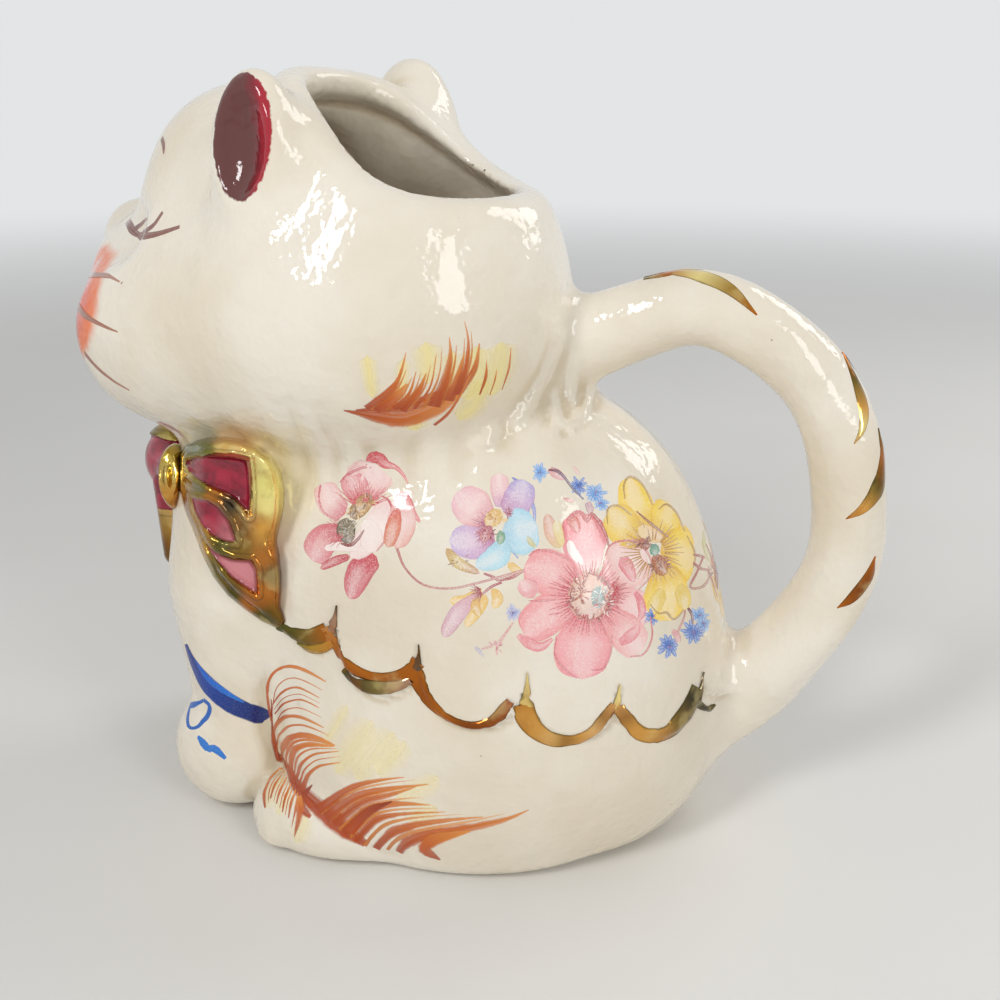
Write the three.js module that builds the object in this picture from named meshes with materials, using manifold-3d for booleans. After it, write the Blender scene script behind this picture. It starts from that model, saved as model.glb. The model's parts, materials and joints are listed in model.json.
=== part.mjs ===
// Cream jug in the form of a seated cat, in glazed slip-cast pottery.
// Millimetres. The cat faces -X, its left side is -Y, up is +Z, and it stands on z = 0.
// The hollow body is filled through the open crown, pours through the mouth, and is held by the tail.

import * as THREE from 'three';
import { mergeVertices } from 'three/addons/utils/BufferGeometryUtils.js';
import Module from 'manifold-3d';

// Pottery: wall and base of the casting, and the slip line between two joined pieces
const WALL = 4.2;
const FLOOR_LEVEL = 6;
const FOOT_RING_WIDTH = 6;
const FOOT_RECESS = 1.5;
const SLIP_GAP = 0.3;
const PAW_CLEARANCE = 0.4;

// Seated body: each mass has a centre and three half-sizes
const RUMP = { at: [13, 0, 20], half: [37, 32, 34] };
const BACK = { at: [6.5, 0, 44], half: [37, 28, 32] };
const CHEST = { at: [-26, 0, 42], half: [21, 22, 34] };
const THIGH = { at: [5, -19, 16], half: [28, 14.5, 27] };
const FORELEG = { top: [-31, -11, 38], foot: [-31, -14.5, 12], topRadius: 12, footRadius: 8.5 };

// Head: turned towards the right side about an upright axis, its masses measured from the eye level
const HEAD_LEVEL = 84;
const HEAD_TURN_DEG = 16;
const HEAD_PIVOT_X = -14;
const SKULL = { at: [-16, 0, 0], half: [35, 30, 24] };
const NAPE = { at: [-5, 0, 4], half: [25, 24, 24] };
const CROWN = { at: [-5, 0, 12], half: [20.5, 19.5, 40] };
const CHEEK = { at: [-36.9, -11, -4], half: [20, 17, 15.5] };
const MUZZLE = { at: [-51, 0, 2], half: [12, 14, 13] };
const BROW = { at: [-30.2, 0, 16], half: [17.2, 19, 18] };
const NOSE = { at: [-57, 0, 9.5], half: [5.5, 7, 5.5] };
const CHIN = { at: [-54, 0, -12.5], half: [6, 7.5, 4] };
const EYE_SOCKET = { at: [-44.5, -21.5, 13.5], half: [7, 6, 5] };

// Filling rim: high behind the brow, low at the nape, with an S-shaped slope between
const RIM_NAPE_RISE = 18.2;
const RIM_BROW_RISE = 37;
const RIM_SLOPE_X = -5.5;
const RIM_SLOPE_RUN = 5;

// Pouring mouth: an oval bore through the muzzle
const MOUTH_WIDTH = 13;
const MOUTH_HEIGHT = 9.6;
const MOUTH_DROP = 7;

// Ears
const EAR = { at: [-13.7, -20.5, 21.2], half: [7.3, 5.2, 13.8] };
const EAR_ROOT = { from: [-13, -20, 31.5], to: [-11.5, -17, 13], fromRadius: 2.4, toRadius: 8 };
const EAR_CUP = { at: [-13.9, -26.2, 26.6], half: [4.9, 3.9, 8.8] };
const RIGHT_EAR_LIFT = 2;

// Paws: an oval pad with round toes set along its front
const FOREPAW = { at: [-34, -16.5, 6], half: [9.6, 8.6, 9.5] };
const HIND_PAW = { at: [-12, -24, 5], half: [14, 8.5, 8] };
const TOE_COUNT = 3;
const TOE_RADIUS = 3.2;
const TOE_SET_BACK = 2.4;
const TOE_SPREAD_DEG = 38;

// Tail handle: route of its centre line in the XZ plane, from nape to rump
const TAIL_ROUTE = [
  [12, 75], [28, 82.4], [41, 86], [53.6, 80.6], [62.3, 69],
  [65.6, 54], [63.2, 40], [54.8, 26.5], [43, 17.2], [30, 12.5],
];
const TAIL_RADIUS = 5.5;
const TAIL_NAPE_FLARE = 2;
const TAIL_RUMP_FLARE = 4.6;

// Bow at the neck
const KNOT = { at: [-46.4, -5.5, 55.3], half: [4.2, 4.5, 6.2] };
const LEFT_LOOP = { from: [-43.5, -10.5, 57], to: [-27, -18.5, 60.5], fromRadius: 4, toRadius: 8.6 };
const LEFT_LOOP_RISE = 5;
const RIGHT_LOOP = { from: [-47.5, -1.5, 56], to: [-50, 7, 56.5], fromRadius: 4, toRadius: 8 };
const RIGHT_LOOP_BACK = { from: [-50, 7, 56.5], to: [-35, 17.5, 60], fromRadius: 8, toRadius: 6 };
const LEFT_RIBBON = { from: [-38, -16.5, 51], to: [-25.5, -22.5, 48], fromRadius: 2, toRadius: 6.2 };
const LEFT_RIBBON_TIP = { from: [-25.5, -22.5, 48], to: [-21.5, -24, 40.5], fromRadius: 6.2, toRadius: 2.5 };
const LEFT_RIBBON_RISE = 2.6;
const LOBE_JOIN = 2;
const LOBE_EDGE = 1.5;
const RIGHT_RIBBON = { from: [-49.5, 2.5, 51], to: [-50.3, 1.5, 37.5], fromRadius: 4.2, toRadius: 2.6 };

// Gilt hem of the cape: a raised bead in scallops between cusps, angles from the front about an axis
const HEM_AXIS_X = 8;
const HEM_CUSPS_DEG = [40, 56, 83, 112, 135, 160];
const HEM_END_DEG = 167;
const HEM_FRONT_LEVEL = 41;
const HEM_BACK_LEVEL = 31.8;
const HEM_SCALLOP_DROP = 7.6;
const HEM_FULL_SPAN_DEG = 24;
const HEM_BEAD_WIDTH = 2.6;
const HEM_BEAD_RISE = 1.2;

// Soft joins between masses: the radius over which one swells into the next
const FOLD = {
  trunk: 12,
  haunch: 4,
  leg: 5,
  neck: 6,
  nape: 10,
  head: 8,
  muzzle: 7,
  socket: 4,
  nose: 3,
  ear: 3,
  lip: 2.5,
  toe: 1.5,
};

// Facets of each surface: round it, and from top to bottom or from end to end
const FACETS = {
  skin: [56, 38],
  hollow: [34, 24],
  ear: [22, 16],
  cup: [16, 12],
  paw: [22, 12],
  knot: [18, 10],
  lobe: [22, 14],
  tail: [12, 32],
  scallop: [6, 7],
  foot: 36,
  mouth: 20,
};

const IVORY = 0xe6dcc8;
const GILT = 0xc08a3a;
const WINE = 0x8c1f33;

const wasm = await Module();
wasm.setup();

// Distance fields of the masses

const { hypot, min, max, abs, exp, cos, sin, sqrt, PI } = Math;

function blend(a, b, radius) {
  const overlap = max(radius - abs(a - b), 0) / radius;
  return min(a, b) - overlap * overlap * radius / 4;
}

function trim(a, b, radius) {
  return -blend(-a, -b, radius);
}

function mass(p, { at, half }) {
  const q = p.map((value, i) => (value - at[i]) / half[i]);
  const reach = hypot(...q);
  const slope = hypot(...q.map((value, i) => value / half[i]));
  return slope > 0 ? reach * (reach - 1) / slope : -min(...half);
}

function limb(p, a, b, radiusA, radiusB) {
  const along = b.map((value, i) => value - a[i]);
  const offset = p.map((value, i) => value - a[i]);
  const dot = offset.reduce((sum, value, i) => sum + value * along[i], 0);
  const t = min(max(dot / hypot(...along) ** 2, 0), 1);
  return hypot(...offset.map((value, i) => value - t * along[i])) - (radiusA + (radiusB - radiusA) * t);
}

function lobe(p, { from, to, fromRadius, toRadius }) {
  return limb(p, from, to, fromRadius, toRadius);
}

function toLeft([x, y, z]) {
  return [x, -abs(y), z];
}

const headTurn = HEAD_TURN_DEG * PI / 180;

function inHead([x, y, z]) {
  const dx = x - HEAD_PIVOT_X;
  return [
    dx * cos(headTurn) - y * sin(headTurn) + HEAD_PIVOT_X,
    dx * sin(headTurn) + y * cos(headTurn),
    z - HEAD_LEVEL,
  ];
}

function outOfHead([x, y, z]) {
  const dx = x - HEAD_PIVOT_X;
  return [
    dx * cos(headTurn) + y * sin(headTurn) + HEAD_PIVOT_X,
    -dx * sin(headTurn) + y * cos(headTurn),
    z + HEAD_LEVEL,
  ];
}

function trunk(p) {
  const side = toLeft(p);
  let d = blend(mass(p, RUMP), mass(p, BACK), FOLD.trunk);
  d = blend(d, mass(p, CHEST), FOLD.trunk);
  d = blend(d, limb(side, FORELEG.top, FORELEG.foot, FORELEG.topRadius, FORELEG.footRadius), FOLD.leg);
  return blend(d, mass(side, THIGH), FOLD.haunch);
}

function head(p) {
  const q = inHead(p);
  const side = toLeft(q);
  let d = blend(mass(q, SKULL), mass(q, NAPE), FOLD.nape);
  d = blend(d, mass(q, CROWN), FOLD.head);
  d = blend(d, mass(side, CHEEK), FOLD.head);
  d = blend(d, mass(q, MUZZLE), FOLD.muzzle);
  d = blend(d, mass(q, BROW), FOLD.head);
  d = blend(d, mass(q, NOSE), FOLD.nose);
  d = blend(d, mass(q, CHIN), FOLD.nose);
  return trim(d, -mass(side, EYE_SOCKET), FOLD.socket);
}

function skin(p) {
  return blend(trunk(p), head(p), FOLD.neck);
}

function aboveRim(p) {
  const [x, , z] = inHead(p);
  const rise = (RIM_BROW_RISE - RIM_NAPE_RISE) / (1 + exp((x - RIM_SLOPE_X) / RIM_SLOPE_RUN));
  return 0.75 * (z - RIM_NAPE_RISE - rise);
}

function outside(p) {
  return trim(skin(p), aboveRim(p), FOLD.lip);
}

function hollow(p) {
  return trim(skin(p) + WALL, FLOOR_LEVEL - p[2], FOLD.lip);
}

// Turning fields and shapes into solids

function solid(geometry) {
  const bare = geometry.clone();
  bare.deleteAttribute('normal');
  bare.deleteAttribute('uv');
  const welded = mergeVertices(bare, 1e-4);
  const vertProperties = new Float32Array(welded.attributes.position.array);
  const triVerts = new Uint32Array(welded.index.array);
  return new wasm.Manifold(new wasm.Mesh({ numProp: 3, vertProperties, triVerts }));
}

function piece(name, body, colour, roughness, metalness) {
  const { vertProperties, triVerts } = body.getMesh();
  const geometry = new THREE.BufferGeometry();
  geometry.setAttribute('position', new THREE.BufferAttribute(vertProperties, 3));
  geometry.setIndex(new THREE.BufferAttribute(triVerts, 1));
  geometry.computeVertexNormals();
  const glaze = new THREE.MeshStandardMaterial({ color: colour, roughness, metalness });
  const made = new THREE.Mesh(geometry, glaze);
  made.name = name;
  return made;
}

function ivoryPiece(name, body) {
  return piece(name, body, IVORY, 0.12, 0);
}

function giltPiece(name, body) {
  return piece(name, body, GILT, 0.18, 0.9);
}

function winePiece(name, body) {
  return piece(name, body, WINE, 0.12, 0);
}

// Distance from a centre, along a direction, to where a field reaches a level
function reachTo(field, centre, direction, level) {
  const at = (t) => field(centre.map((value, i) => value + t * direction[i])) - level;
  let far = 0;
  let gap = at(far);
  let near = 0;
  while (gap < 0) {
    near = far;
    far += max(0.3, -0.8 * gap);
    gap = at(far);
  }
  for (let step = 0; step < 24; step++) {
    const middle = (near + far) / 2;
    if (at(middle) < 0) near = middle;
    else far = middle;
  }
  return (near + far) / 2;
}

// A sphere whose points are pushed out from its centre until they lie on the field's surface
function press(field, centre, [around, down], level = 0, axis = [0, 0, 1]) {
  const ball = new THREE.SphereGeometry(1, around, down);
  const pole = new THREE.Vector3(...axis).normalize();
  ball.applyQuaternion(new THREE.Quaternion().setFromUnitVectors(new THREE.Vector3(0, 1, 0), pole));
  const spots = ball.attributes.position;
  const way = new THREE.Vector3();
  for (let i = 0; i < spots.count; i++) {
    way.fromBufferAttribute(spots, i).normalize();
    const reach = reachTo(field, centre, way.toArray(), level);
    spots.setXYZ(i, centre[0] + reach * way.x, centre[1] + reach * way.y, centre[2] + reach * way.z);
  }
  return solid(ball);
}

// A rod bent along a list of stations, each with a centre and two half-width vectors
function bend(stations, around) {
  const rod = new THREE.CylinderGeometry(1, 1, stations.length - 1, around, stations.length - 1);
  rod.translate(0, (stations.length - 1) / 2, 0);
  const spots = rod.attributes.position;
  for (let i = 0; i < spots.count; i++) {
    const { centre, across, out } = stations[Math.round(spots.getY(i))];
    const place = centre.clone().addScaledVector(across, spots.getX(i)).addScaledVector(out, spots.getZ(i));
    spots.setXYZ(i, place.x, place.y, place.z);
  }
  return solid(rod);
}

function box(width, depth, height, x, y, z) {
  const block = new THREE.BoxGeometry(width, depth, height);
  block.translate(x, y, z);
  return solid(block);
}

function mirrored(form) {
  return { ...form, at: [form.at[0], -form.at[1], form.at[2]] };
}

const BIG = 400;
const underTable = box(BIG, BIG, BIG, 0, 0, -BIG / 2);
const underPaws = box(BIG, BIG, BIG, 0, 0, PAW_CLEARANCE - BIG / 2);

// Body: outer skin, cut flat, hollowed, with a mouth bore and a recess inside the foot ring
const heart = [0, 0, (HEAD_LEVEL + CHEST.at[2]) / 2];
const bulk = press(outside, heart, FACETS.skin);
const bulkWithSlip = press(outside, heart, FACETS.skin, SLIP_GAP);

function mouthBore() {
  const back = CHEEK.at[0] - HEAD_PIVOT_X;
  const front = MUZZLE.at[0] - 2 * MUZZLE.half[0] - HEAD_PIVOT_X;
  const bore = new THREE.CylinderGeometry(0.5, 0.5, back - front, FACETS.mouth);
  bore.rotateZ(PI / 2);
  bore.scale(1, MOUTH_WIDTH, MOUTH_HEIGHT);
  bore.translate((back + front) / 2, 0, -MOUTH_DROP);
  bore.rotateZ(-headTurn);
  bore.translate(HEAD_PIVOT_X, 0, HEAD_LEVEL);
  return solid(bore);
}

function footRecess() {
  const outline = [];
  for (let i = 0; i < FACETS.foot; i++) {
    const angle = 2 * PI * i / FACETS.foot;
    const way = [cos(angle), sin(angle), 0];
    const reach = reachTo(trunk, [HEM_AXIS_X, 0, 0], way, -FOOT_RING_WIDTH);
    outline.push(new THREE.Vector2(HEM_AXIS_X + reach * way[0], reach * way[1]));
  }
  const depth = 2 * FOOT_RECESS;
  const pad = new THREE.ExtrudeGeometry(new THREE.Shape(outline), { depth, bevelEnabled: false });
  pad.translate(0, 0, -FOOT_RECESS);
  return solid(pad);
}

function bodyShell() {
  return bulk
    .subtract(press(hollow, heart, FACETS.hollow))
    .subtract(mouthBore())
    .subtract(underTable)
    .subtract(footRecess());
}

// Ears: a cupped leaf of clay on each side of the crown
function ear(mirror, lift) {
  const side = mirror ? -1 : 1;
  const place = ([x, y, z]) => outOfHead([x, side * y, z + lift]);
  const inEar = (p) => {
    const [x, y, z] = inHead(p);
    return [x, side * y, z - lift];
  };
  const leaf = (p) => blend(mass(inEar(p), EAR), lobe(inEar(p), EAR_ROOT), FOLD.ear);
  const leafBody = press(leaf, place(EAR.at), FACETS.ear);
  const cupBody = press((p) => mass(inEar(p), EAR_CUP), place(EAR_CUP.at), FACETS.cup);
  return leafBody.subtract(cupBody).subtract(bulkWithSlip);
}

// Paws: toes fan out from the pad's centre, round the way that the paw points
function pawField(form) {
  const toes = [];
  for (let i = 0; i < TOE_COUNT; i++) {
    const angle = (i - (TOE_COUNT - 1) / 2) * TOE_SPREAD_DEG * PI / 180;
    const x = form.at[0] - (form.half[0] - TOE_SET_BACK) * cos(angle);
    const y = form.at[1] + (form.half[1] - TOE_SET_BACK) * sin(angle);
    toes.push({ at: [x, y, TOE_RADIUS + PAW_CLEARANCE], half: [TOE_RADIUS, TOE_RADIUS, TOE_RADIUS] });
  }
  return (p) => toes.reduce((d, toe) => blend(d, mass(p, toe), FOLD.toe), mass(p, form));
}

function paw(form) {
  return press(pawField(form), form.at, FACETS.paw).subtract(bulkWithSlip).subtract(underPaws);
}

function hindPaw(form, forepaw) {
  const room = press(pawField(forepaw), forepaw.at, FACETS.paw, SLIP_GAP);
  return paw(form).subtract(room);
}

// Tail: the handle's rod runs from inside the nape to inside the rump and is cut back to the skin
function tailRod(growth) {
  const points = TAIL_ROUTE.map(([x, z]) => new THREE.Vector3(x, 0, z));
  const route = new THREE.CatmullRomCurve3(points, false, 'catmullrom');
  const [sides, steps] = FACETS.tail;
  const stations = [];
  for (let i = 0; i <= steps; i++) {
    const u = i / steps;
    const along = route.getTangent(u);
    const napeFlare = TAIL_NAPE_FLARE * exp(-((u / 0.1) ** 1.3));
    const rumpFlare = TAIL_RUMP_FLARE * exp(-(((1 - u) / 0.2) ** 1.6));
    const radius = TAIL_RADIUS + napeFlare + rumpFlare + growth;
    const across = new THREE.Vector3(0, radius, 0);
    const out = new THREE.Vector3().crossVectors(across, along);
    stations.push({ centre: route.getPoint(u), across, out });
  }
  return bend(stations, sides);
}

const tailSlip = tailRod(SLIP_GAP);

// Bow: each lobe stands proud of the neck by its own rise and gives way to the one before it
function overSkin(form, rise) {
  return (p) => trim(form(p), skin(p) - rise, LOBE_EDGE);
}

const knotField = (p) => mass(p, KNOT);
const leftLoopField = overSkin((p) => lobe(p, LEFT_LOOP), LEFT_LOOP_RISE);
const rightLoopField = (p) => blend(lobe(p, RIGHT_LOOP), lobe(p, RIGHT_LOOP_BACK), LOBE_JOIN);
const leftRibbonField = overSkin(
  (p) => blend(lobe(p, LEFT_RIBBON), lobe(p, LEFT_RIBBON_TIP), LOBE_JOIN),
  LEFT_RIBBON_RISE,
);
const rightRibbonField = (p) => lobe(p, RIGHT_RIBBON);

// A lobe is pressed from a point part of the way along it, with its poles at its two ends
function pressLobe(field, { from, to }, share, level = 0) {
  const along = from.map((value, i) => to[i] - value);
  const centre = from.map((value, i) => value + share * along[i]);
  return press(field, centre, FACETS.lobe, level, along);
}

const knotSlip = press(knotField, KNOT.at, FACETS.knot, SLIP_GAP);
const leftLoopSlip = pressLobe(leftLoopField, LEFT_LOOP, 0.6, SLIP_GAP);
const rightLoopSlip = pressLobe(rightLoopField, RIGHT_LOOP_BACK, 0, SLIP_GAP);
const leftRibbonSlip = pressLobe(leftRibbonField, LEFT_RIBBON, 0.8, SLIP_GAP);

function bowKnot() {
  return press(knotField, KNOT.at, FACETS.knot).subtract(bulkWithSlip);
}

function bowLoop(field, form, share) {
  return pressLobe(field, form, share).subtract(bulkWithSlip).subtract(knotSlip);
}

function bowRibbon(field, form, share, loopSlip) {
  return pressLobe(field, form, share).subtract(bulkWithSlip).subtract(knotSlip).subtract(loopSlip);
}

// Hem: height of the bead at an angle from the front, and its place on the skin
function hemLevel(angle) {
  const last = HEM_CUSPS_DEG.length - 1;
  const share = (angle - HEM_CUSPS_DEG[1]) / (HEM_CUSPS_DEG[last] - HEM_CUSPS_DEG[1]);
  const cusp = HEM_FRONT_LEVEL + share * (HEM_BACK_LEVEL - HEM_FRONT_LEVEL);
  const edges = [...HEM_CUSPS_DEG, 360 - HEM_CUSPS_DEG[last]];
  const i = edges.findIndex((edge, k) => k > 0 && angle <= edge);
  const within = (angle - edges[i - 1]) / (edges[i] - edges[i - 1]);
  const drop = HEM_SCALLOP_DROP * min(1, (edges[i] - edges[i - 1]) / HEM_FULL_SPAN_DEG);
  return cusp - drop * sqrt(max(sin(PI * within), 0));
}

function hemPoint(angle, side, lift) {
  const turn = angle * PI / 180;
  const way = [-cos(turn), -side * sin(turn), 0];
  const start = [HEM_AXIS_X, 0, hemLevel(angle)];
  const reach = reachTo(skin, start, way, lift);
  return new THREE.Vector3(start[0] + reach * way[0], start[1] + reach * way[1], start[2]);
}

function hem(side) {
  const lift = SLIP_GAP + HEM_BEAD_RISE / 2;
  const [sides, steps] = FACETS.scallop;
  const angles = [];
  const edges = [...HEM_CUSPS_DEG, HEM_END_DEG];
  for (let i = 1; i < edges.length; i++) {
    for (let k = 0; k < steps; k++) angles.push(edges[i - 1] + (edges[i] - edges[i - 1]) * k / steps);
  }
  angles.push(HEM_END_DEG);
  const line = angles.map((angle) => hemPoint(angle, side, lift));
  const stations = line.map((centre, i) => {
    const along = line[min(i + 1, line.length - 1)].clone().sub(line[max(i - 1, 0)]).normalize();
    const skyward = hemPoint(angles[i], side, 2 * lift).sub(centre).normalize();
    const across = new THREE.Vector3().crossVectors(along, skyward).normalize();
    const out = new THREE.Vector3().crossVectors(across, along).multiplyScalar(HEM_BEAD_RISE / 2);
    return { centre, across: across.multiplyScalar(HEM_BEAD_WIDTH / 2), out };
  });
  return bend(stations, sides).subtract(tailSlip).subtract(side > 0 ? leftRibbonSlip : rightLoopSlip);
}

const jug = new THREE.Group();
jug.add(
  ivoryPiece('body_shell', bodyShell()),
  ivoryPiece('tail_handle', tailRod(0).subtract(bulkWithSlip)),
  ivoryPiece('ear_left', ear(false, 0)),
  ivoryPiece('ear_right', ear(true, RIGHT_EAR_LIFT)),
  ivoryPiece('forepaw_left', paw(FOREPAW)),
  ivoryPiece('forepaw_right', paw(mirrored(FOREPAW))),
  ivoryPiece('hind_paw_left', hindPaw(HIND_PAW, FOREPAW)),
  ivoryPiece('hind_paw_right', hindPaw(mirrored(HIND_PAW), mirrored(FOREPAW))),
  giltPiece('bow_knot', bowKnot()),
  winePiece('bow_loop_left', bowLoop(leftLoopField, LEFT_LOOP, 0.6)),
  winePiece('bow_loop_right', bowLoop(rightLoopField, RIGHT_LOOP_BACK, 0)),
  winePiece('bow_ribbon_left', bowRibbon(leftRibbonField, LEFT_RIBBON, 0.8, leftLoopSlip)),
  winePiece('bow_ribbon_right', bowRibbon(rightRibbonField, RIGHT_RIBBON, 0.5, rightLoopSlip)),
  giltPiece('hem_left', hem(1)),
  giltPiece('hem_right', hem(-1)),
);

// The origin is under the middle of the jug, on the table
const extent = new THREE.Box3().setFromObject(jug);
jug.position.set(-(extent.min.x + extent.max.x) / 2, -(extent.min.y + extent.max.y) / 2, 0);

export default jug;
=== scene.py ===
import json
import math
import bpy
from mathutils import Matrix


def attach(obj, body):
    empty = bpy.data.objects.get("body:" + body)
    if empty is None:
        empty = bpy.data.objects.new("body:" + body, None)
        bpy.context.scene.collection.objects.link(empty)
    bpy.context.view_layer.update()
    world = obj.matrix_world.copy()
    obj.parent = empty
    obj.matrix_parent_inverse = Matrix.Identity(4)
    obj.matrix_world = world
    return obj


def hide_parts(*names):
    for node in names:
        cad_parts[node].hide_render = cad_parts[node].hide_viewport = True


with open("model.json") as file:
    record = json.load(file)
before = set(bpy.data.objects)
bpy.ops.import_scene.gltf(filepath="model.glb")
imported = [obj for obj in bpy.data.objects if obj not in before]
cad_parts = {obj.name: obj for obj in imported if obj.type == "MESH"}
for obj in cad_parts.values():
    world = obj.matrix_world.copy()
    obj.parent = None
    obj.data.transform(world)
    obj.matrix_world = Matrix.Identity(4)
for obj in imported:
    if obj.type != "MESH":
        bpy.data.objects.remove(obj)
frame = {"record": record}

from concurrent.futures import ThreadPoolExecutor

import bpy
import numpy as np
from bpy.props import FloatProperty, FloatVectorProperty, PointerProperty
from bpy.types import Operator, Panel, PropertyGroup
from mathutils import Vector

bl_info = {
    "name": "Seated cat cream jug",
    "version": (1, 0, 0),
    "blender": (4, 5, 0),
    "location": "3D View > Sidebar > Jug",
    "description": "Glazed, gilded and hand-painted pottery jug in the form of a seated cat",
    "category": "Add Mesh",
}

# Places are worked out in millimetres on the jug's own axes: it faces -X, its left side is -Y, up is +Z.
# The foot mount is at FOOT on those axes, which ties them to the frame.
MM = 0.001
FOOT = np.array([39.0, 0.0, 0.0])
mount = next(m for m in frame["record"]["mounts"] if m["name"] == "foot")
SHIFT = np.array(mount["pos_m"]) / MM - FOOT

# The seated body. A mass is its middle and its half-sizes; a limb is its two ends and the radius at each.
# Paired forms are given on the left.
WALL = 4.2
FLOOR_LEVEL = 6.0
FOOT_RING_WIDTH = 6.0
FOOT_RECESS = 1.5
RUMP = ((13, 0, 20), (37, 32, 34))
BACK = ((6.5, 0, 44), (37, 28, 32))
CHEST = ((-26, 0, 42), (21, 22, 34))
THIGH = ((5, -19, 16), (28, 14.5, 27))
FORELEG = ((-31, -11, 38), (-31, -14.5, 12), 12, 8.5)
TRUNK_FLOW = 12
FORELEG_FLOW = 5
THIGH_FLOW = 3
NECK_FLOW = 6

# The head, measured from the eye level and turned about an upright axis
HEAD_LEVEL = 84.0
HEAD_TURN = math.radians(16)
HEAD_PIVOT_X = -14.0
SKULL = ((-16, 0, 0), (35, 30, 24))
NAPE = ((-5, 0, 4), (25, 24, 24))
CROWN = ((-5, 0, 12), (20.5, 19.5, 40))
CHEEK = ((-36.9, -11, -4), (20, 17, 15.5))
MUZZLE = ((-51, 0, 2), (12, 14, 13))
BROW = ((-30.2, 0, 16), (17.2, 19, 18))
NOSE = ((-57, 0, 9.5), (5.5, 7, 5.5))
CHIN = ((-54, 0, -12.5), (6, 7.5, 4))
EYE_SOCKET = ((-44.5, -21.5, 13.5), (7, 6, 5))
EYE_SOCKET_FLOW = 4

# What is added to the skull, with the width over which each mass flows into the ones before it
HEAD_MASSES = [(NAPE, 10), (CROWN, 8), (CHEEK, 8), (MUZZLE, 7), (BROW, 8), (NOSE, 3), (CHIN, 3)]

# The orange is sprayed round these places of the head
WHISKER_PAD = ((-56, -21, 1), (14, 13, 8.5))
FAR_WHISKER_PAD = ((-56, 21, 1), (14, 13, 8.5))
NOSE_TIP = ((-59.5, 0, 9.5), (5.0, 5.5, 4.0))

# The crown's rim rises from the nape to the brow. Below it the wall is thicker by a lip, more so on the
# far side and most at the far brow. The lip is full down to a depth, and then falls away over a run.
RIM_NAPE_RISE = 18.2
RIM_BROW_RISE = 37.0
RIM_SLOPE_X = -5.5
RIM_SLOPE_RUN = 5.0
RIM_STEEPNESS = 0.75
RIM_ROUNDING = 2.5
RIM_LIP = 0.3
RIM_LIP_FAR = 1.3
RIM_LIP_BROW = 0.7
RIM_LIP_DEPTH = 0.2
RIM_LIP_BROW_DEPTH = 1.6
RIM_LIP_FALL = 2.4
FAR_SIDE_Y = (-12, 4)
FAR_SIDE_AHEAD = (-12, -5)
BROW_AHEAD = (-6, 10)

# The mouth's width, height and depth below the eye level, and where it opens into the head
MOUTH = (13.0, 9.6, 7.0)
MOUTH_END_X = -40.0
MOUTH_ROUNDING = 1.0
INNER_FLOOR_ROUNDING = 3
INNER_EDGE_ROUNDING = 1.6
RECESS_ROUNDING = 0.6
FOOT_ROUNDING = 3.0

# The ears. The right one is fitted apart from the left.
EAR = ((-13.7, -20.5, 21.2), (7.3, 5.2, 13.8))
EAR_ROOT = ((-13.0, -20.0, 31.5), (-11.5, -17.0, 13), 2.4, 8.0)
EAR_CUP = ((-13.3, -26.2, 27.6), (4.6, 3.9, 8.6))
EAR_ROOT_FLOW = 3
EAR_CUP_ROUNDING = 1.2
EAR_FLOW = 3.5
RIGHT_EAR_LIFT = 2.0
RIGHT_EAR_FORWARD = 1.0
RIGHT_EAR_WIDENING = 1.2

# The enamel of an ear cup: how far it is inset, its margin over the cup, and the oval in which it is painted
# darker and browner towards the front, as painted shade and reflection in the cup
ENAMEL_INSET = 1.0
ENAMEL_MARGIN = (0.4, 1.3, 0.3)
ENAMEL_PAINTED_SHADE = (10.0, 12.0, 40.0)
ENAMEL_PAINTED_SHADE_AHEAD = (3.0, 0.0, 0.0)

# Paws and tail
FOREPAW = ((-33, -15.6, 10.2), (10.9, 9.2, 11.2))
HIND_PAW = ((-12, -24, 5), (14, 8.5, 8))
PAW_FLOW = 3
PAW_TO_PAW_FLOW = 2.5
TOE_TURNS_DEG = (-38, 0, 38)
TOE_RADIUS = 3.2
TOE_LEVEL = 3.6
TOE_INSET = 2.4
TOE_FLOW = 2
TAIL_ROUTE = [
    (12, 75), (28, 82.4), (41, 86), (53.6, 80.6), (62.3, 69),
    (65.6, 54), (63.2, 40), (54.8, 26.5), (43, 17.2), (30, 12.5),
]
TAIL_RADIUS = 5.5
TAIL_NAPE_FLARE = 2.0
TAIL_RUMP_FLARE = 4.6
TAIL_FLOW = 4
TAIL_LOOP_MIDDLE = (30, 50)
TAIL_FOREMOST_X = 6
TAIL_TWIST = 0.22
FAR_AWAY = 60.0

# Scalloped hem of the cape: angles from the front about an upright axis
HEM_AXIS_X = 8.0
HEM_CUSPS_DEG = [40, 56, 83, 112, 135, 160, 200]
HEM_FRONT_LEVEL = 41.0
HEM_BACK_LEVEL = 31.8
HEM_SCALLOP_DROP = 7.6
HEM_FULL_SPAN_DEG = 24
CAPE_STEP = 0.8
CAPE_FRONT_DEG = (38, 46)
CAPE_FRONT_DIP_DEG = (34, 46)
CAPE_NECK_LEVELS = (60, 70)

# Locks of fur: the ruff below the cheeks, on the head's own axes, and the haunch
RUFF_LEVEL = -17
RUFF_SPREAD = 6.5
RUFF_LOCKS = 26
RUFF_DEPTH = 0.16
HAUNCH_FUR_LEVEL = 17
HAUNCH_FUR_SPREAD = 12
HAUNCH_FUR_AHEAD = (-12, 22)
HAUNCH_FUR_DEPTH = 0.10

# The photographer's viewpoint, which also places the painting
EYE_PLACE = np.array([45.0, -164.0, 117.0])
EYE_HEADING = math.radians(12)
EYE_PITCH = math.radians(20.9)
PICTURE_SIDE = 1000
FOCAL_PIXELS = 1083.0
PIXELS_PER_MM = 5.7
NEAREST_REACH = 110.0
SIGHT_STEPS = 70
SIGHT_STRIDE = 0.8


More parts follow.
